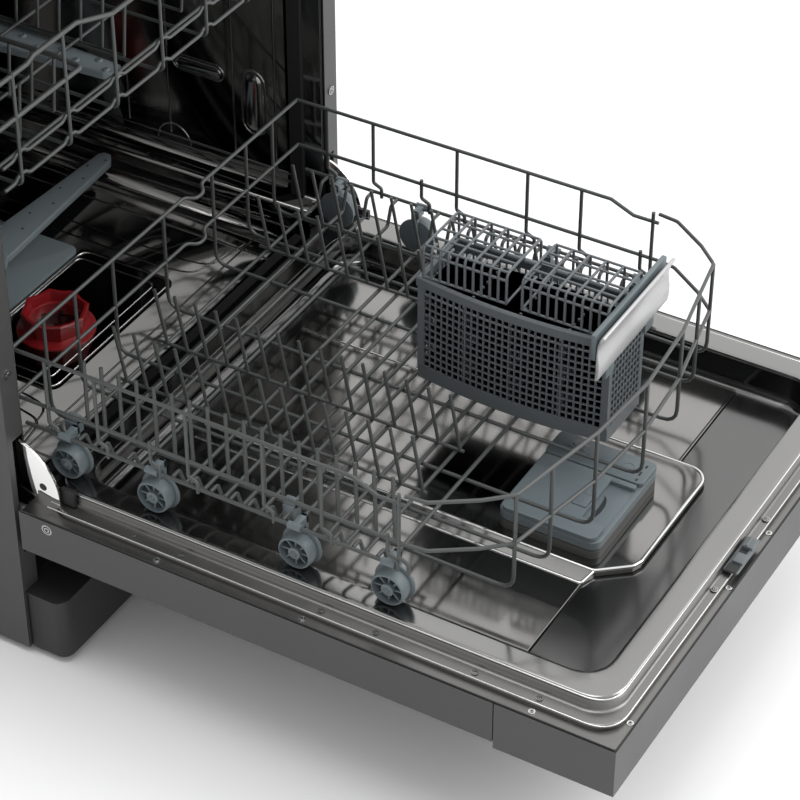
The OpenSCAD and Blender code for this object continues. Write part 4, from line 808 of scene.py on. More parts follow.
tub = {
    "x": 271, "ledgeX": 243, "floor": 168, "ledge": 210, "ceiling": 795, "front": 2.4, "back": 544.6,
    "radii": (16, 5, 7, 34), "sheet": 0.9,
    # how the back is rounded: how far in, how far from the back
    "backIn": [(0, 24), (3, 12), (9, 4), (18, 1), (26, 0)],
    # ribs pressed in the side walls: y, lowest and highest point
    "ribs": [(256, 236, 700), (200, 236, 700), (114, 236, 700), (60, 230, 700)], "ridgeRadius": 1.3,
    "ridgeOut": 1.6, "ribSink": 2, "ribRuns": (3, 4, 14),
    # pill outlines: centres of both ends, radius of the outline and of the bulge inside it
    "pills": [((135, 332), (183, 332), 9, 6.5), ((88, 284), (88, 334), 15, 11)],
    "pillLoops": [(1, 0), (0.55, 0.8)], "pillSteps": 8, "bulgeShare": 0.45, "bulgeSink": 1,
    "beads": [(270.6, 232), (270.2, 222), (243.6, 196), (242.6, 182), (222, 168.4), (198, 168.2)],
    "beadWidth": 2.2, "beadBend": 0.5, "beadEnds": (24, 26), "boss": (196, 226), "bossRadius": 22,
    "bossIn": 0.4,
}


def placeTubWires(name, wires, thickness, bendRadius, material="ridgeHighlightSteel"):
    placeWires(name, wires, thickness, bendRadius, "cabinet", material)


def tubSection(steps=6):
    t = tub
    half = [(0, t["floor"]), (t["ledgeX"], t["floor"]), (t["ledgeX"], t["ledge"]), (t["x"], t["ledge"]),
            (t["x"], t["ceiling"]), (0, t["ceiling"])]
    half = [Vector((*corner, 0)) for corner in half]
    made = [half[0]]
    for before, corner, after, radius in zip(half, half[1:], half[2:], t["radii"]):
        made += rounded([before, corner, after], radius, steps)[1:-1]
    right = [(v.x, v.y) for v in made + [half[-1]]]
    return right + [(-x, z) for x, z in reversed(right[1:-1])]


def makeTubShell():
    t = tub
    bm = bmesh.new()
    section, middle = tubSection(), (t["floor"] + t["ceiling"]) / 2
    loops = []
    for inward, y in [(0, t["front"])] + [(inward, t["back"] - before) for inward, before in t["backIn"]]:
        scaleX, scaleZ = 1 - inward / t["x"], 1 - inward / (t["ceiling"] - middle)
        verts = [bm.verts.new(point(x * scaleX, y, middle + (z - middle) * scaleZ)) for x, z in section]
        loops.append(joinedUp(bm, verts))
    bridgeLoops(bm, loops)
    bm.faces.new(verts)
    bmesh.ops.recalc_face_normals(bm, faces=bm.faces)
    bmesh.ops.reverse_faces(bm, faces=bm.faces)
    thicken(place(bm, "tubShell", "cabinet", "tubShadeSteel", ["tub_wrap", "tub_floor"]), t["sheet"])


makeTubShell()


def makeTubPressings():
    t = tub
    bm, ridges, beads = bmesh.new(), [], []
    below, above, slope = t["ribRuns"]
    for side in (-1, 1):
        for y, low, high in t["ribs"]:
            x, sunk = side * (t["x"] + t["ridgeRadius"] - t["ridgeOut"]), side * (t["x"] + t["ribSink"])
            ridges.append([(sunk, y, low - below), (x, y, low + above), (x, y, high - slope),
                           (sunk, y, high)])
        for first, last, radius, bulge in t["pills"]:
            (y0, z0), (y1, z1) = first, last
            along, half = math.degrees(math.atan2(z1 - z0, y1 - y0)), math.hypot(y1 - y0, z1 - z0) / 2000
            for share, inward in t["pillLoops"]:
                loop = []
                for middle, start in ((last, along - 90), (first, along + 90)):
                    for k in range(t["pillSteps"] + 1):
                        spot = onCircle(middle, radius * share, start + 180 * k / t["pillSteps"])
                        loop.append((side * (t["x"] - inward), *spot))
                ridges.append(loop + loop[:2])
            verts = bmesh.ops.create_uvsphere(bm, u_segments=32, v_segments=20, radius=bulge / 1000)["verts"]
            for v in verts:  # the ball is drawn out to a pill, then laid along its outline
                v.co.z += math.copysign(half, v.co.z) if abs(v.co.z) > 1e-6 else 0
            turn = Matrix.Rotation(math.radians(90 - along), 4, "X")
            flat = Matrix.Diagonal((t["bulgeShare"], 1, 1, 1))
            spot = point(side * (t["x"] + t["bulgeSink"]), (y0 + y1) / 2, (z0 + z1) / 2)
            bmesh.ops.transform(bm, matrix=Matrix.Translation(spot) @ flat @ turn, verts=verts)
        fromFront, fromBack = t["beadEnds"]
        beads += [[(side * x, t["front"] + fromFront, z), (side * x, t["back"] - fromBack, z)]
                  for x, z in t["beads"]]
        x = side * (t["x"] - t["bossIn"])
        beads.append([(x, *onCircle(t["boss"], t["bossRadius"], degrees)) for degrees in range(0, 181, 15)])
    place(bm, "tubBulges", "cabinet", "ridgeHighlightSteel", sharp=60)
    placeTubWires("tubRidges", ridges, 2 * t["ridgeRadius"], t["beadBend"])
    placeTubWires("tubBeads", beads, t["beadWidth"], t["beadBend"])


makeTubPressings()

floorForm = {
    "steps": [(128, 74), (150, 66)], "width": 2.2, "bend": 30, "outs": (60, 6, 40), "rise": (8, 40),
    "run": (352, 392, 500), "crossYs": (430, 62), "crossTrim": 6,
}


def makeFloorForm():
    f, z = floorForm, tub["floor"]
    (wide, close, flare), (step, reach), (run, turn, end) = f["outs"], f["rise"], f["run"]
    lines = []
    for x, y in f["steps"]:
        for side in (-1, 1):
            line = [(x + wide, y), (x + close, y + step), (x, y + reach), (x, run), (x + flare, turn),
                    (x + wide, end)]
            lines.append([(side * across, along, z) for across, along in line])
    half = tub["ledgeX"] - f["crossTrim"]
    lines += [[(-half, y, z), (half, y, z)] for y in f["crossYs"]]
    placeTubWires("tubFloorCreases", lines, f["width"], f["bend"], "floorShadeSteel")


makeFloorForm()
print("tub made")


# spray arms; half an outline is drawn and turned for the other wing
armForm = {
    "root": 23, "rootX": 22, "tip": 10.5, "cut": 12, "tipFlat": (8, 5), "tipIn": 6, "thickness": 9,
    "centre": 262, "edge": 1.8, "edgeSteps": 3, "hubEdge": 0.8, "hubSides": 40,
    "hub": [(27, 1.2, 1.2), (20, 3.4, 3), (11, 5.2, 6)],  # radius, above, below
    "holes": [0.28, 0.4, 0.52, 0.64, 0.76, 0.86, 0.94], "holeSides": (-5, 6),
    "nozzle": {"radius": 4.2, "tip": 3.2, "sink": 0.4, "rise": 1.5, "slit": (2.2, 0.5), "slitFrom": 1.0,
               "slitTo": 1.6, "edge": 0.3},
    "jet": {"radius": 1.5, "sink": 0.6, "rise": 0.12},
}


def makeArm(name, body, node, z, alongX, reach, nozzlesUp):
    a = armForm
    root, tip, middle, centre = a["root"], a["tip"], (a["root"] + a["tip"]) / 2, a["centre"]
    flatLow, flatHigh = a["tipFlat"]
    wing = [(a["rootX"], -root), (reach * 0.5, -middle), (reach - a["cut"], -tip), (reach, flatLow - tip),
            (reach, tip - flatHigh), (reach - a["tipIn"], tip), (reach * 0.5, middle), (a["rootX"], root)]

    def laid(u, v):
        return (u, centre + v) if alongX else (-v, centre + u)

    low, high = z - a["thickness"] / 2, z + a["thickness"] / 2
    bm = bmesh.new()
    addPrism(bm, [(*laid(turn * u, turn * v), low) for turn in (1, -1) for u, v in wing], (0, 0, high - low))
    soften(bm, a["edge"], a["edgeSteps"], limit=20)
    for radius, above, below in a["hub"]:
        verts = set(addRod(bm, (0, centre, low - below), (0, centre, high + above), radius, a["hubSides"]))
        rim = [e for e in bm.edges if set(e.verts) <= verts and e.calc_face_angle(0) > 1]
        bevelEdges(bm, rim, a["hubEdge"], 2)
    place(bm, name + "Blade", body, "armPlastic", [node], sharp=42)
    bm, dark, nozzle, jet = bmesh.new(), bmesh.new(), a["nozzle"], a["jet"]
    slitX, slitY = nozzle["slit"]
    for index, share in enumerate(a["holes"]):
        for turn in (1, -1):
            x, y = laid(turn * share * reach, turn * a["holeSides"][index % 2])
            if nozzlesUp:
                addRod(bm, (x, y, high - nozzle["sink"]), (x, y, high + nozzle["rise"]), nozzle["radius"],
                       sides=20, endRadius=nozzle["tip"])
                addBlock(dark, (x - slitX, y - slitY, high + nozzle["slitFrom"]),
                         (x + slitX, y + slitY, high + nozzle["slitTo"]))
            else:
                addRod(dark, (x, y, high - jet["sink"]), (x, y, high + jet["rise"]), jet["radius"], sides=14)
    if nozzlesUp:
        soften(bm, nozzle["edge"], steps=1, limit=30)
        place(bm, name + "Nozzles", body, "armPlastic")
    else:
        bm.free()
    place(dark, name + "Jets", body, "blackRubber")


makeArm("lowerArm", "lower_arm", "lower_spray_arm", 203, True, 235, False)
makeArm("upperArm", "upper_arm", "upper_spray_arm", 496, False, 200, True)
print("spray arms made")

upperRack = {
    "wire": 3.7, "rim": 5.2, "plane": 253, "front": 20, "back": 504, "floor": 508, "middle": 576,
    "top": 624, "dip": 18, "dipHalf": 70, "rows": 7, "rowIn": 34, "eave": 14, "eaveIn": 16, "columns": 7,
    "firstX": -213, "pitchX": 76, "hookUp": 22, "floorBend": 9, "longBend": 8, "rimBend": 5,
    "jogRails": (26, 2), "jog": [(-8, 0), (-2, 5), (8, 5), (14, 0)], "jogIn": 2, "jogEnd": 8,
    # front rim: x and how far under the top, with the dip in its middle
    "rimLine": [(-253, 4), (-190, 4), (-180, 0), (-115, 0), (-60, 18), (60, 18), (115, 0), (253, 0)],
    "rimIn": 1, "shelfX": -112, "shelfRise": 3, "shelfIn": (30, 40),
    "tineXs": (-188, -150, -96, 20, 120, 190), "tineYs": (70, 440, 26), "tine": 52, "lean": 7,
    "tineWire": 3.4, "tineBend": 3, "gliders": ((261.5, 26, 585), (264.6, 504, 599)),
    "glideYs": (60, 262, 470), "glideX": (254, 262), "glideHalf": 6, "glideZ": (588, 596), "glideEdge": 0.5,
}


def placeUpperWires(name, wires, thickness, bendRadius, standsFor=()):
    placeWires(name, wires, thickness, bendRadius, "upper_rack", "wireCoat", standsFor)


def makeUpperRack():
    u = upperRack
    d, w, y0, y1 = u["wire"], u["plane"], u["front"], u["back"]
    floor, middle, top = u["floor"], u["middle"], u["top"]
    eave, inner = floor + u["eave"], w - u["eaveIn"]
    columns = [u["firstX"] + i * u["pitchX"] for i in range(u["columns"])]
    cross, lengthways = [], []
    for i in range(u["rows"]):
        y = y0 + u["rowIn"] + i * (y1 - y0 - 2 * u["rowIn"]) / (u["rows"] - 1)
        line = [(-w, top), (-w, eave), (-inner, floor), (inner, floor), (w, eave), (w, top)]
        cross.append([(x, y, z) for x, z in line])
    for x in columns:
        end = top - u["dip"] if abs(x) < u["dipHalf"] else top
        lengthways.append([(x, y0, end), (x, y0, floor + u["hookUp"]), (x, y0, floor - d), (x, y1, floor - d),
                           (x, y1, top)])
    y = y0 + u["jogIn"]
    for rise in u["jogRails"]:  # low rails with a small jog beside each upright
        z = floor + rise
        line = [(-inner, y, z)]
        for x in columns:
            line += [(x + shift, y, z + lift) for shift, lift in u["jog"]]
        cross.append(line[:-1] + [(w - u["jogEnd"], y, z)])
    placeUpperWires("upperRackFloorWires", cross, d, u["floorBend"], ["upper_rack_floor"])
    placeUpperWires("upperRackLengthways", lengthways, d, u["longBend"], ["upper_rack_walls"])
    y0, y1 = y0 + u["rimIn"], y1 - u["rimIn"]
    x, z, (shelfFront, shelfBack) = u["shelfX"], middle + u["shelfRise"], u["shelfIn"]
    rims = [[(rimX, y0, top - under) for rimX, under in u["rimLine"]],
            [(-w, y0, middle), (x, y0, middle), (x, y0 + shelfFront, z), (x, y1 - shelfBack, z)]]
    for z in (top, middle):
        rims += [[(-w, y0, z), (-w, y1, z)], [(-w, y1, z), (w, y1, z)], [(w, y1, z), (w, y0, z)]]
    placeUpperWires("upperRackRims", rims, u["rim"], u["rimBend"])
    tines, (first, last, pitch) = [], u["tineYs"]
    for x in u["tineXs"]:
        for y in range(first, last, pitch):
            tines.append([(x, y, floor - d), (x + u["lean"], y, floor + u["tine"])])
        tines.append([(x, first, floor - d), (x, last, floor - d)])
    placeUpperWires("upperRackTines", tines, u["tineWire"], u["tineBend"])
    bm = bmesh.new()
    (x0, x1), half, (z0, z1) = u["glideX"], u["glideHalf"], u["glideZ"]
    for side in (-1, 1):
        addSideBlock(bm, side, *u["gliders"])
        for y in u["glideYs"]:
            addSideBlock(bm, side, (x0, y - half, z0), (x1, y + half, z1))
    soften(bm, u["glideEdge"])
    place(bm, "upperRackGliders", "upper_rack", "wireCoat")


makeUpperRack()
print("upper rack made")

plinth = {
    "low": (-296.6, -42.4, 79.2), "high": (296.6, 14, 80.2), "corner": 11, "seamX": 298.55,
    "seamYs": (-1.5, -9), "seamZ": (12, 78), "seam": 0.8,
}


# the plinth's top as a black plate of painted shade under the open door, and the seams at its ends
def makePlinth():
    p = plinth
    bm = bmesh.new()
    addPlate(bm, p["low"], p["high"], p["corner"])
    place(bm, "plinthShadePlate", "cabinet", "blackRubber")
    seams = [[(x, y, z) for z in p["seamZ"]] for x in (-p["seamX"], p["seamX"]) for y in p["seamYs"]]
    placeWires("plinthSeams", seams, p["seam"], crisp, "cabinet", "blackRubber")


makePlinth()

# screws in the liner's flange: name, finish, radius, how much it narrows, height and sides of each part
flangeScrews = {
    "spots": [(31, -639.2), (-58, -639.2), (-262, -639.2), (262, -639.2), (-292.5, -558), (-292.5, -320),
              (-292.5, -160), (292.5, -558), (292.5, -320)],
    "low": 189.6,
    "parts": [("flangeScrewRings", "highlightAndBrightSteel", 3.6, 0.4, 1.3, 24),
              ("flangeScrewHeads", "screwSteel", 2.6, 0.5, 1.9, 24),
              ("flangeScrewHoles", "blackRubber", 1.1, 0, 2.0, 6)],
}


def makeFlangeScrews():
    low = flangeScrews["low"]
    for name, material, radius, taper, height, sides in flangeScrews["parts"]:
        bm = bmesh.new()
        for x, y in flangeScrews["spots"]:
            addRod(bm, (x, y, low), (x, y, low + height), radius, sides, radius - taper)
        place(bm, name, "door", material)


makeFlangeScrews()

# the dispenser and the small fittings of the door
dispenser = {
    "near": -75, "far": 58, "tip": -511, "back": -403, "foot": 172.2, "groove": 187.2, "deck": 188.4,
    "face": 197.9, "top": 203, "corner": 11, "edge": 0.9, "neckIn": 1.6, "overlap": 1,
    "strip": {"x": 20.5, "farIn": 0.6, "endIn": 1, "corner": 6},
    "slots": [(47, -502, 2.2), (35, -501, 3.4), (25, -502, 2.0)], "slotHalf": 1.1, "slotSink": 0.5,
    "slotRise": 0.06, "hooks": {"ys": (1.2, 36), "from": (-0.9, 6, -7), "to": (0.5, 16, -4)},
    "mark": (38, -486.5), "markRadius": 6.2, "markWire": 0.7,
}


def placeDoorPlastic(bm, name, body="door", standsFor=(), material="greyPlastic", sharp=30):
    place(bm, name, body, material, standsFor, sharp)


def makeDispenser():
    d = dispenser
    near, far, tip, back = d["near"], d["far"], d["tip"], d["back"]
    face, top, corner = d["face"], d["top"], d["corner"]
    bm = bmesh.new()
    addPlate(bm, (near, tip, d["foot"]), (far, back, d["groove"]), corner)
    soften(bm, d["edge"], steps=3, limit=50)
    placeDoorPlastic(bm, "dispenserSkirt", material="skirtPlastic")
    bm = bmesh.new()
    neck, lap, strip = d["neckIn"], d["overlap"], d["strip"]
    addPlate(bm, (near + neck, tip + neck, d["groove"] - lap), (far - neck, back - neck, d["deck"] + lap),
             corner - neck)
    addPlate(bm, (near, tip, d["deck"]), (far, back, face), corner)
    addPlate(bm, (strip["x"], tip + strip["endIn"], face - lap),
             (far - strip["farIn"], back - strip["endIn"], top), strip["corner"])
    soften(bm, d["edge"], steps=3, limit=50)
    placeDoorPlastic(bm, "dispenserBody", standsFor=["dispenser_body"])
    bm = bmesh.new()
    for x, y, half in d["slots"]:
        addBlock(bm, (x - half, y - d["slotHalf"], top - d["slotSink"]),
                 (x + half, y + d["slotHalf"], top + d["slotRise"]))
    hooks = d["hooks"]  # snap hooks under the strip's edge
    for start in hooks["ys"]:
        low, high = ((far + x, tip + start + y, face + z) for x, y, z in (hooks["from"], hooks["to"]))
        addBlock(bm, low, high)
    place(bm, "dispenserSlots", "door", "blackRubber")
    ring = [(*onCircle(d["mark"], d["markRadius"], 15 * k), top) for k in range(26)]
    placeWires("rinseMark", [ring], d["markWire"], crisp, "door", "greyPlastic")


makeDispenser()

dispenserLid = {
    "plates": [((-74.7, -507, 198.3), (-50, -407, 203), 7), ((-59, -481, 198.3), (17.8, -407, 202.95), 4)],
    "well": ((-56, -506.2, 198.3), (17.2, -477, 198.5)),
    "wall": ((11.5, -506.6, 198.3), (17.8, -475, 202.9), 2), "edge": 1.1, "hollow": (-28, -483.5),
    "hollowX": 21, "hollowY": (8.5, 3.4), "hollowZ": (198.2, 198.58),
    "button": (-36.5, -478.5, -18.5, -463.5), "buttonFoot": 200.9, "buttonTop": 203.5, "buttonCorner": 1.6,
    "gap": 0.7, "gapZ": (202.5, 203.05), "gapCorner": 2, "buttonEdge": 0.3, "cap": (39, -430),
    "capRadius": 12.6, "capZ": (199, 203.35), "capSides": 48, "rays": 8, "rayOut": (6.2, 0, 0),
    "raySize": (5.2, 1.1, 0.9), "rayZ": 203.5,
}


def makeDispenserLid():
    d = dispenserLid
    bm = bmesh.new()
    for low, high, radius in d["plates"]:
        addPlate(bm, low, high, radius)
    addBlock(bm, *d["well"])
    addPlate(bm, *d["wall"])
    soften(bm, d["edge"], steps=3, limit=50)
    placeDoorPlastic(bm, "dispenserLidForm", "detergent_lid", ["dispenser_lid"])
    bm = bmesh.new()  # a dark plate of painted shade for the finger hollow in front of the step, and the dark gap round the button
    (x, y), (front, behind), (z0, z1) = d["hollow"], d["hollowY"], d["hollowZ"]
    arc = [(180 + degrees, front) for degrees in range(0, 181, 12)] + \
          [(-degrees, behind) for degrees in range(12, 169, 12)]
    outline = [(x + d["hollowX"] * math.cos(math.radians(turn)), y + deep * math.sin(math.radians(turn)), z0)
               for turn, deep in arc]
    addPrism(bm, outline, (0, 0, z1 - z0))
    (x0, y0, x1, y1), gap, (z0, z1) = d["button"], d["gap"], d["gapZ"]
    addPlate(bm, (x0 - gap, y0 - gap, z0), (x1 + gap, y1 + gap, z1), d["gapCorner"])
    place(bm, "dispenserLidShadow", "detergent_lid", "gapAndHollowShade")
    bm = bmesh.new()
    addPlate(bm, (x0, y0, d["buttonFoot"]), (x1, y1, d["buttonTop"]), d["buttonCorner"])
    soften(bm, d["buttonEdge"], steps=2, limit=50)
    placeDoorPlastic(bm, "dispenserButtonCap", "lid_button", ["dispenser_button"])
    (x, y), (z0, z1) = d["cap"], d["capZ"]
    bm = bmesh.new()
    addRod(bm, (x, y, z0), (x, y, z1), d["capRadius"], d["capSides"])
    for k in range(d["rays"]):
        addTurnedBlock(bm, point(x, y, d["rayZ"]), "Z", k * math.tau / d["rays"], d["rayOut"], d["raySize"])
    soften(bm, d["buttonEdge"], steps=2, limit=50)
    placeDoorPlastic(bm, "rinseCapForm", "rinse_aid_cap", ["rinse_cap"])


makeDispenserLid()

# the latch nose on the door's end: its plate, its blocks, the roller and the dark slots beside it
latch = {
    "plate": ((-46, -641.6, 196.9), (8, -626.5, 199.6), 2.5),
    "blocks": [((-34, -640.8, 198), (-20, -630, 202.6)), ((-12, -640.8, 198), (3, -630, 204.4)),
               ((-21, -640.8, 198), (-11, -637.5, 201.4))],
    "roller": ((-11.5, -634, 203.6), (2.5, -634, 203.6), 2.0, 16), "edge": 0.9,
    "window": ((-47, -640, 199.4), (-35, -628.5, 200.4), 2),
    "slot": ((-19, -637, 199.4), (-11, -629.5, 200.2)),
}


def makeLatch():
    bm = bmesh.new()
    addPlate(bm, *latch["plate"])
    for low, high in latch["blocks"]:
        addBlock(bm, low, high)
    addRod(bm, *latch["roller"])
    soften(bm, latch["edge"], steps=3, limit=40)
    placeDoorPlastic(bm, "latchNose", standsFor=["door_latch"], material="basketPlastic")
    bm = bmesh.new()
    addPlate(bm, *latch["window"])
    addBlock(bm, *latch["slot"])
    place(bm, "latchSlots", "door", "blackRubber")


makeLatch()

# screw heads: radii as shares of the screw's own, from the foot to the face of each form
screwHead = {
    "sink": 0.4, "ring": (0.74, 0.70), "ringHeight": 0.2, "dome": (0.58, 0.50), "domeHeight": 0.5,
    "driver": (0.28, 0.28), "driverHeight": 0.7,
}


# The lowest and highest corner of each loose part of a CAD node
def looseBoxes(name):
    bm = bmesh.new()
    bm.from_mesh(nodes[name].data)
    bmesh.ops.remove_doubles(bm, verts=bm.verts, dist=1e-6)
    left, boxes = set(bm.verts), []
    while left:
        reached, edge = set(), [next(iter(left))]
        while edge:
            v = edge.pop()
            if v not in reached:
                reached.add(v)
                edge += [e.other_vert(v) for e in v.link_edges]
        left -= reached
        boxes.append([Vector([f(v.co[k] for v in reached) for k in range(3)]) for f in (min, max)])
    bm.free()
    return boxes


# Fine heads on the screws of a CAD node: a disc, a dark ring, a dome and a driver hole
def makeScrews(name, body):
    s, heads, holes = screwHead, bmesh.new(), bmesh.new()
    for low, high in looseBoxes(name):
        size = high - low
        thin = min(range(3), key=lambda k: size[k])
        way = Vector([float(k == thin) for k in range(3)])
        middle = (low + high) / 2
        if thin == 1 or (thin == 0 and middle.x < 0):
            way = -way
        middle -= way * s["sink"] / 1000
        radius, face = max(size) / 2, middle + way * size[thin] / 2
        turn = way.to_track_quat("Z", "Y").to_matrix().to_4x4()
        for bm, spot, depth, sides, (foot, end) in (
                (heads, middle, size[thin], 24, (1, 1)), (holes, face, s["ringHeight"] / 1000, 20, s["ring"]),
                (heads, face, s["domeHeight"] / 1000, 20, s["dome"]),
                (holes, face, s["driverHeight"] / 1000, 6, s["driver"])):
            bmesh.ops.create_cone(bm, cap_ends=True, segments=sides, radius1=radius * foot,
                                  radius2=radius * end, depth=depth, matrix=Matrix.Translation(spot) @ turn)
    place(heads, name + "Heads", body, "screwSteel", [name], sharp=30)
    place(holes, name + "Holes", body, "blackRubber")


makeScrews("door_screws", "door")
makeScrews("cabinet_screws", "cabinet")
print("door fittings made")

ears = {
    "x": 280, "thickness": 3, "centre": (17, 203.5), "radius": 59, "back": 4, "foot": 189.6, "edge": 0.4,
    "hole": (-24, 214), "holeRadius": 4.2, "holeProud": 0.05, "arcSteps": 40,
}


def makeEars():
    e = ears
    first = math.degrees(math.asin((e["foot"] - e["centre"][1]) / e["radius"]))
    steps = [180 - first - (90 - first) * k / e["arcSteps"] for k in range(e["arcSteps"] + 1)]
    arc = [onCircle(e["centre"], e["radius"], degrees) for degrees in steps]
    outline = [spot for spot in arc if spot[0] <= e["back"]]
    outline += [(e["back"], outline[-1][1]), (e["back"], e["foot"])]
    bm, dark = bmesh.new(), bmesh.new()
    for x in (-e["x"], e["x"]):
        x0, x1 = x - e["thickness"] / 2, x + e["thickness"] / 2
        addPrism(bm, [(x0, y, z) for y, z in outline], (e["thickness"], 0, 0))
        addRod(dark, (x0 - e["holeProud"], *e["hole"]), (x1 + e["holeProud"], *e["hole"]), e["holeRadius"])
    soften(bm, e["edge"], steps=2, limit=40)
    place(bm, "doorEarPlates", "door", "earSteel", ["door_ears"], sharp=30)
    place(dark, "doorEarHoles", "door", "blackRubber")


makeEars()

filterForm = {
    "half": 112, "front": 90, "step": 213.4, "low": 168.1, "steelTop": 169.7, "corner": 14, "lap": 4,
    "greyHalf": 106, "greyBack": 334, "greyTop": 173, "greyCorner": 10, "greyEdge": 0.8,
    "rims": ((4, 0.3), (17, 0)), "rimWire": 2.0, "rimStep": 3, "rimSteps": 6,
}


def makeFilterPlates():
    f = filterForm
    bm = bmesh.new()
    addPlate(bm, (-f["greyHalf"], f["step"], f["low"]), (f["greyHalf"], f["greyBack"], f["greyTop"]),
             f["greyCorner"])
    soften(bm, f["greyEdge"], steps=2, limit=50)
    place(bm, "filterGreyPlate", "cabinet", "armPlastic", ["filter_plate"], sharp=30)
    bm = bmesh.new()
    addPlate(bm, (-f["half"], f["front"], f["low"]), (f["half"], f["step"] + f["lap"], f["steelTop"]),
             f["corner"])
    place(bm, "filterSteelPlate", "cabinet", "tubShadeSteel", sharp=30)
    rims = []
    for inset, rise in f["rims"]:
        x, z = f["half"] - inset, f["steelTop"] + rise
        y0, y1 = f["front"] + inset, f["step"] - f["rimStep"] - inset / 4
        line = [(0, y0, z), (x, y0, z), (x, y1, z), (-x, y1, z), (-x, y0, z), (0, y0, z)]
        rims.append(rounded(line, f["corner"] - inset / 3, f["rimSteps"]))
    placeTubWires("filterRims", rims, f["rimWire"], crisp, "highlightAndBrightSteel")


makeFilterPlates()

filterCup = {
    "x": -22, "y": 152, "steps": 48, "sides": 8,
    # rings from the flange over the grip into the bore: radius, height, how eight-sided, depth of the waves
    "rings": [(42, 170.0, 0, 0), (42, 172.2, 0, 0), (40.4, 173.0, 0, 0), (37.5, 173.0, 0.4, 0),
              (33.2, 175.0, 1, 0), (36.5, 194.4, 1, 1.4), (35.3, 196, 1, 1.4), (32.1, 195.6, 1, 1.4),
              (31.1, 193, 1, 1.0), (29, 184, 0.6, 0), (26, 183, 0, 0), (25.5, 130, 0, 0), (31, 130, 0, 0),
              (33, 170.0, 0, 0)],
    "slots": 16, "slotOut": (25.6, 0, 0), "slotSize": (0.6, 5.2, 2.4), "slotZs": (164, 172),
}


def cupRing(bm, radius, z, flat, wave):
    c = filterCup
    wide, verts = math.tau / c["sides"], []
    for k in range(c["steps"]):
        turn = math.tau * k / c["steps"]
        side = math.cos(wide / 2) / math.cos(turn % wide - wide / 2)
        reach = radius * (flat * side + (1 - flat))
        sunk = wave * (1 - math.cos(c["sides"] * turn)) / 2
        x, y = c["x"] + reach * math.cos(turn), c["y"] + reach * math.sin(turn)
        verts.append(bm.verts.new(point(x, y, z - sunk)))
    return joinedUp(bm, verts)


def makeFilterCup():
    c = filterCup
    bm = bmesh.new()
    rings = [cupRing(bm, *ring) for ring in c["rings"]]
    bridgeLoops(bm, rings + rings[:1])
    bmesh.ops.recalc_face_normals(bm, faces=bm.faces)
    place(bm, "filterCupForm", "strainer", "filterRed", ["filter_cup"], sharp=34)
    bm = bmesh.new()
    for k in range(c["slots"]):  # strainer slots in the bore
        middle = point(c["x"], c["y"], c["slotZs"][k % 2])
        addTurnedBlock(bm, middle, "Z", math.tau * k / c["slots"], c["slotOut"], c["slotSize"])
    place(bm, "filterCupSlots", "strainer", "blackRubber")


makeFilterCup()

# the rest keeps its CAD shape; each gets its finish and a small edge radius
kept = {
    "base_tray": ("basePlastic", 1.2), "kickplate": ("basePlastic", 0.8),
    "levelling_feet": ("basePlastic", 0.8), "side_panel_left": ("outerLacquer", 0.5),
    "side_panel_right": ("outerLacquer", 0.5), "back_panel": ("zincSheet", 0.4),
    "worktop": ("worktopLaminate", 1.2), "front_frame": ("revealLacquer", 0.4),
    "door_gasket": ("blackRubber", 0.6), "upper_rack_rails": ("highlightAndBrightSteel", 0.2),
    "sump": ("pumpPlastic", 0.8), "circulation_pump": ("pumpPlastic", 0.8),
    "drain_pump": ("pumpPlastic", 0.8), "softener_tank": ("palePlastic", 0.8),
    "inlet_valve": ("palePlastic", 0.6), "feed_duct": ("greyPlastic", 0.8),
    "hinge_brackets": ("zincSheet", 0.3), "latch_strike": ("highlightAndBrightSteel", 0.3),
    "door_outer_panel": ("outerLacquer", 0.5), "control_console": ("consolePlastic", 0.9),
    "door_lip_seal": ("blackRubber", 0.6), "power_button": ("keySilver", 0.5),
    "program_button": ("keySilver", 0.5), "start_button": ("keySilver", 0.5),
    "upper_feed_tube": ("greyPlastic", 0.4),
}


def dressNodes():
    for name, node in nodes.items():  # nodes that finer pieces stand for keep a plain finish
        material, width = kept.get(name, ("greyPlastic", 0))
        node.data.materials.clear()
        node.data.materials.append(finishes[material])
        if width:
            edge = node.modifiers.new("edge", "BEVEL")
            edge.width, edge.segments, edge.harden_normals = width / 1000, 2, False
            edge.limit_method, edge.angle_limit = "ANGLE", math.radians(40)


dressNodes()

studio = {
    "floorTone": 0.93, "floorRough": 0.9, "floorHalf": 30, "floorDrop": 0.0005,
    # the sky is brightest towards this direction, and even for the camera
    "brightSide": (0.8, -0.3, 0.5), "dimSky": 0.22, "brightSky": 1.45, "aim": (0, -0.3, 0.3),
    "lamps": [("keyLight", (1.4, -3.0, 3.0), 2.4, 62), ("topLight", (-0.6, -0.2, 3.6), 1.6, 26)],
}


def makeFloor():
    s = studio
    mesh = bpy.data.meshes.new("stageFloor")
    bm = bmesh.new()
    bmesh.ops.create_grid(bm, x_segments=1, y_segments=1, size=s["floorHalf"])
    bm.to_mesh(mesh)
    bm.free()
    floor = bpy.data.objects.new("stageFloor", mesh)
    bpy.context.scene.collection.objects.link(floor)
    white, treeNodes, _ = newMaterial("stageWhite")
    treeNodes["Principled BSDF"].inputs["Base Color"].default_value = (*[s["floorTone"]] * 3, 1)
    treeNodes["Principled BSDF"].inputs["Roughness"].default_value = s["floorRough"]
    mesh.materials.append(white)
    floor.location = (0, 0, -s["floorDrop"])


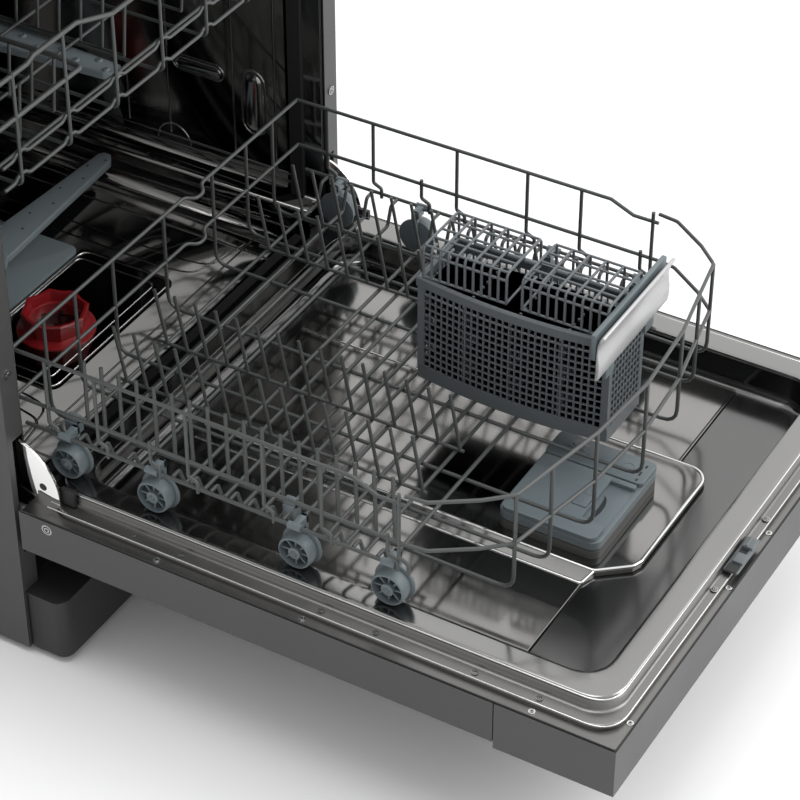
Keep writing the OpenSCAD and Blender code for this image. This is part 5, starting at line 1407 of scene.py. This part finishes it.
def makeSky():
    world = bpy.data.worlds.new("studio")
    bpy.context.scene.world = world
    world.use_nodes = True
    treeNodes, links = world.node_tree.nodes, world.node_tree.links
    background = treeNodes["Background"]
    background.inputs["Color"].default_value = (1, 1, 1, 1)
    where, dot = treeNodes.new("ShaderNodeTexCoord"), treeNodes.new("ShaderNodeVectorMath")
    spread = treeNodes.new("ShaderNodeMapRange")
    path, pick = treeNodes.new("ShaderNodeLightPath"), treeNodes.new("ShaderNodeMix")
    dot.operation, dot.inputs[1].default_value = "DOT_PRODUCT", studio["brightSide"]
    spread.inputs["From Min"].default_value = -1
    spread.inputs["To Min"].default_value = studio["dimSky"]
    spread.inputs["To Max"].default_value = studio["brightSky"]
    pick.inputs["B"].default_value = 1.0
    links.new(where.outputs["Generated"], dot.inputs[0])
    links.new(dot.outputs["Value"], spread.inputs["Value"])
    links.new(spread.outputs["Result"], pick.inputs["A"])
    links.new(path.outputs["Is Camera Ray"], pick.inputs["Factor"])
    links.new(pick.outputs["Result"], background.inputs["Strength"])


def makeLamps():
    for name, spot, size, power in studio["lamps"]:
        lamp = bpy.data.lights.new(name, "AREA")
        lamp.size, lamp.energy = size, power
        holder = bpy.data.objects.new(name, lamp)
        holder.location = spot
        holder.rotation_euler = (Vector(studio["aim"]) - Vector(spot)).to_track_quat("-Z", "Y").to_euler()
        bpy.context.scene.collection.objects.link(holder)


makeFloor()
makeSky()
makeLamps()

view = {
    "spot": (-1.8507, -1.2876, 1.9053), "forward": (0.6787, 0.3962, -0.6184), "right": (0.504, -0.864, 0),
    "lens": 124.24, "sensor": 36, "farthest": 100,
}


def makeCamera():
    forward = Vector(view["forward"]).normalized()
    right = Vector(view["right"])
    right = (right - forward * right.dot(forward)).normalized()
    up = right.cross(forward)
    data = bpy.data.cameras.new("photoView")
    data.sensor_width, data.lens, data.clip_end = view["sensor"], view["lens"], view["farthest"]
    holder = bpy.data.objects.new("photoView", data)
    turn = Matrix((right, up, -forward)).transposed().to_4x4()
    holder.matrix_world = Matrix.Translation(view["spot"]) @ turn
    bpy.context.scene.collection.objects.link(holder)
    bpy.context.scene.camera = holder


makeCamera()
bpy.context.scene.view_settings.view_transform = "Standard"
print("stage and camera made")
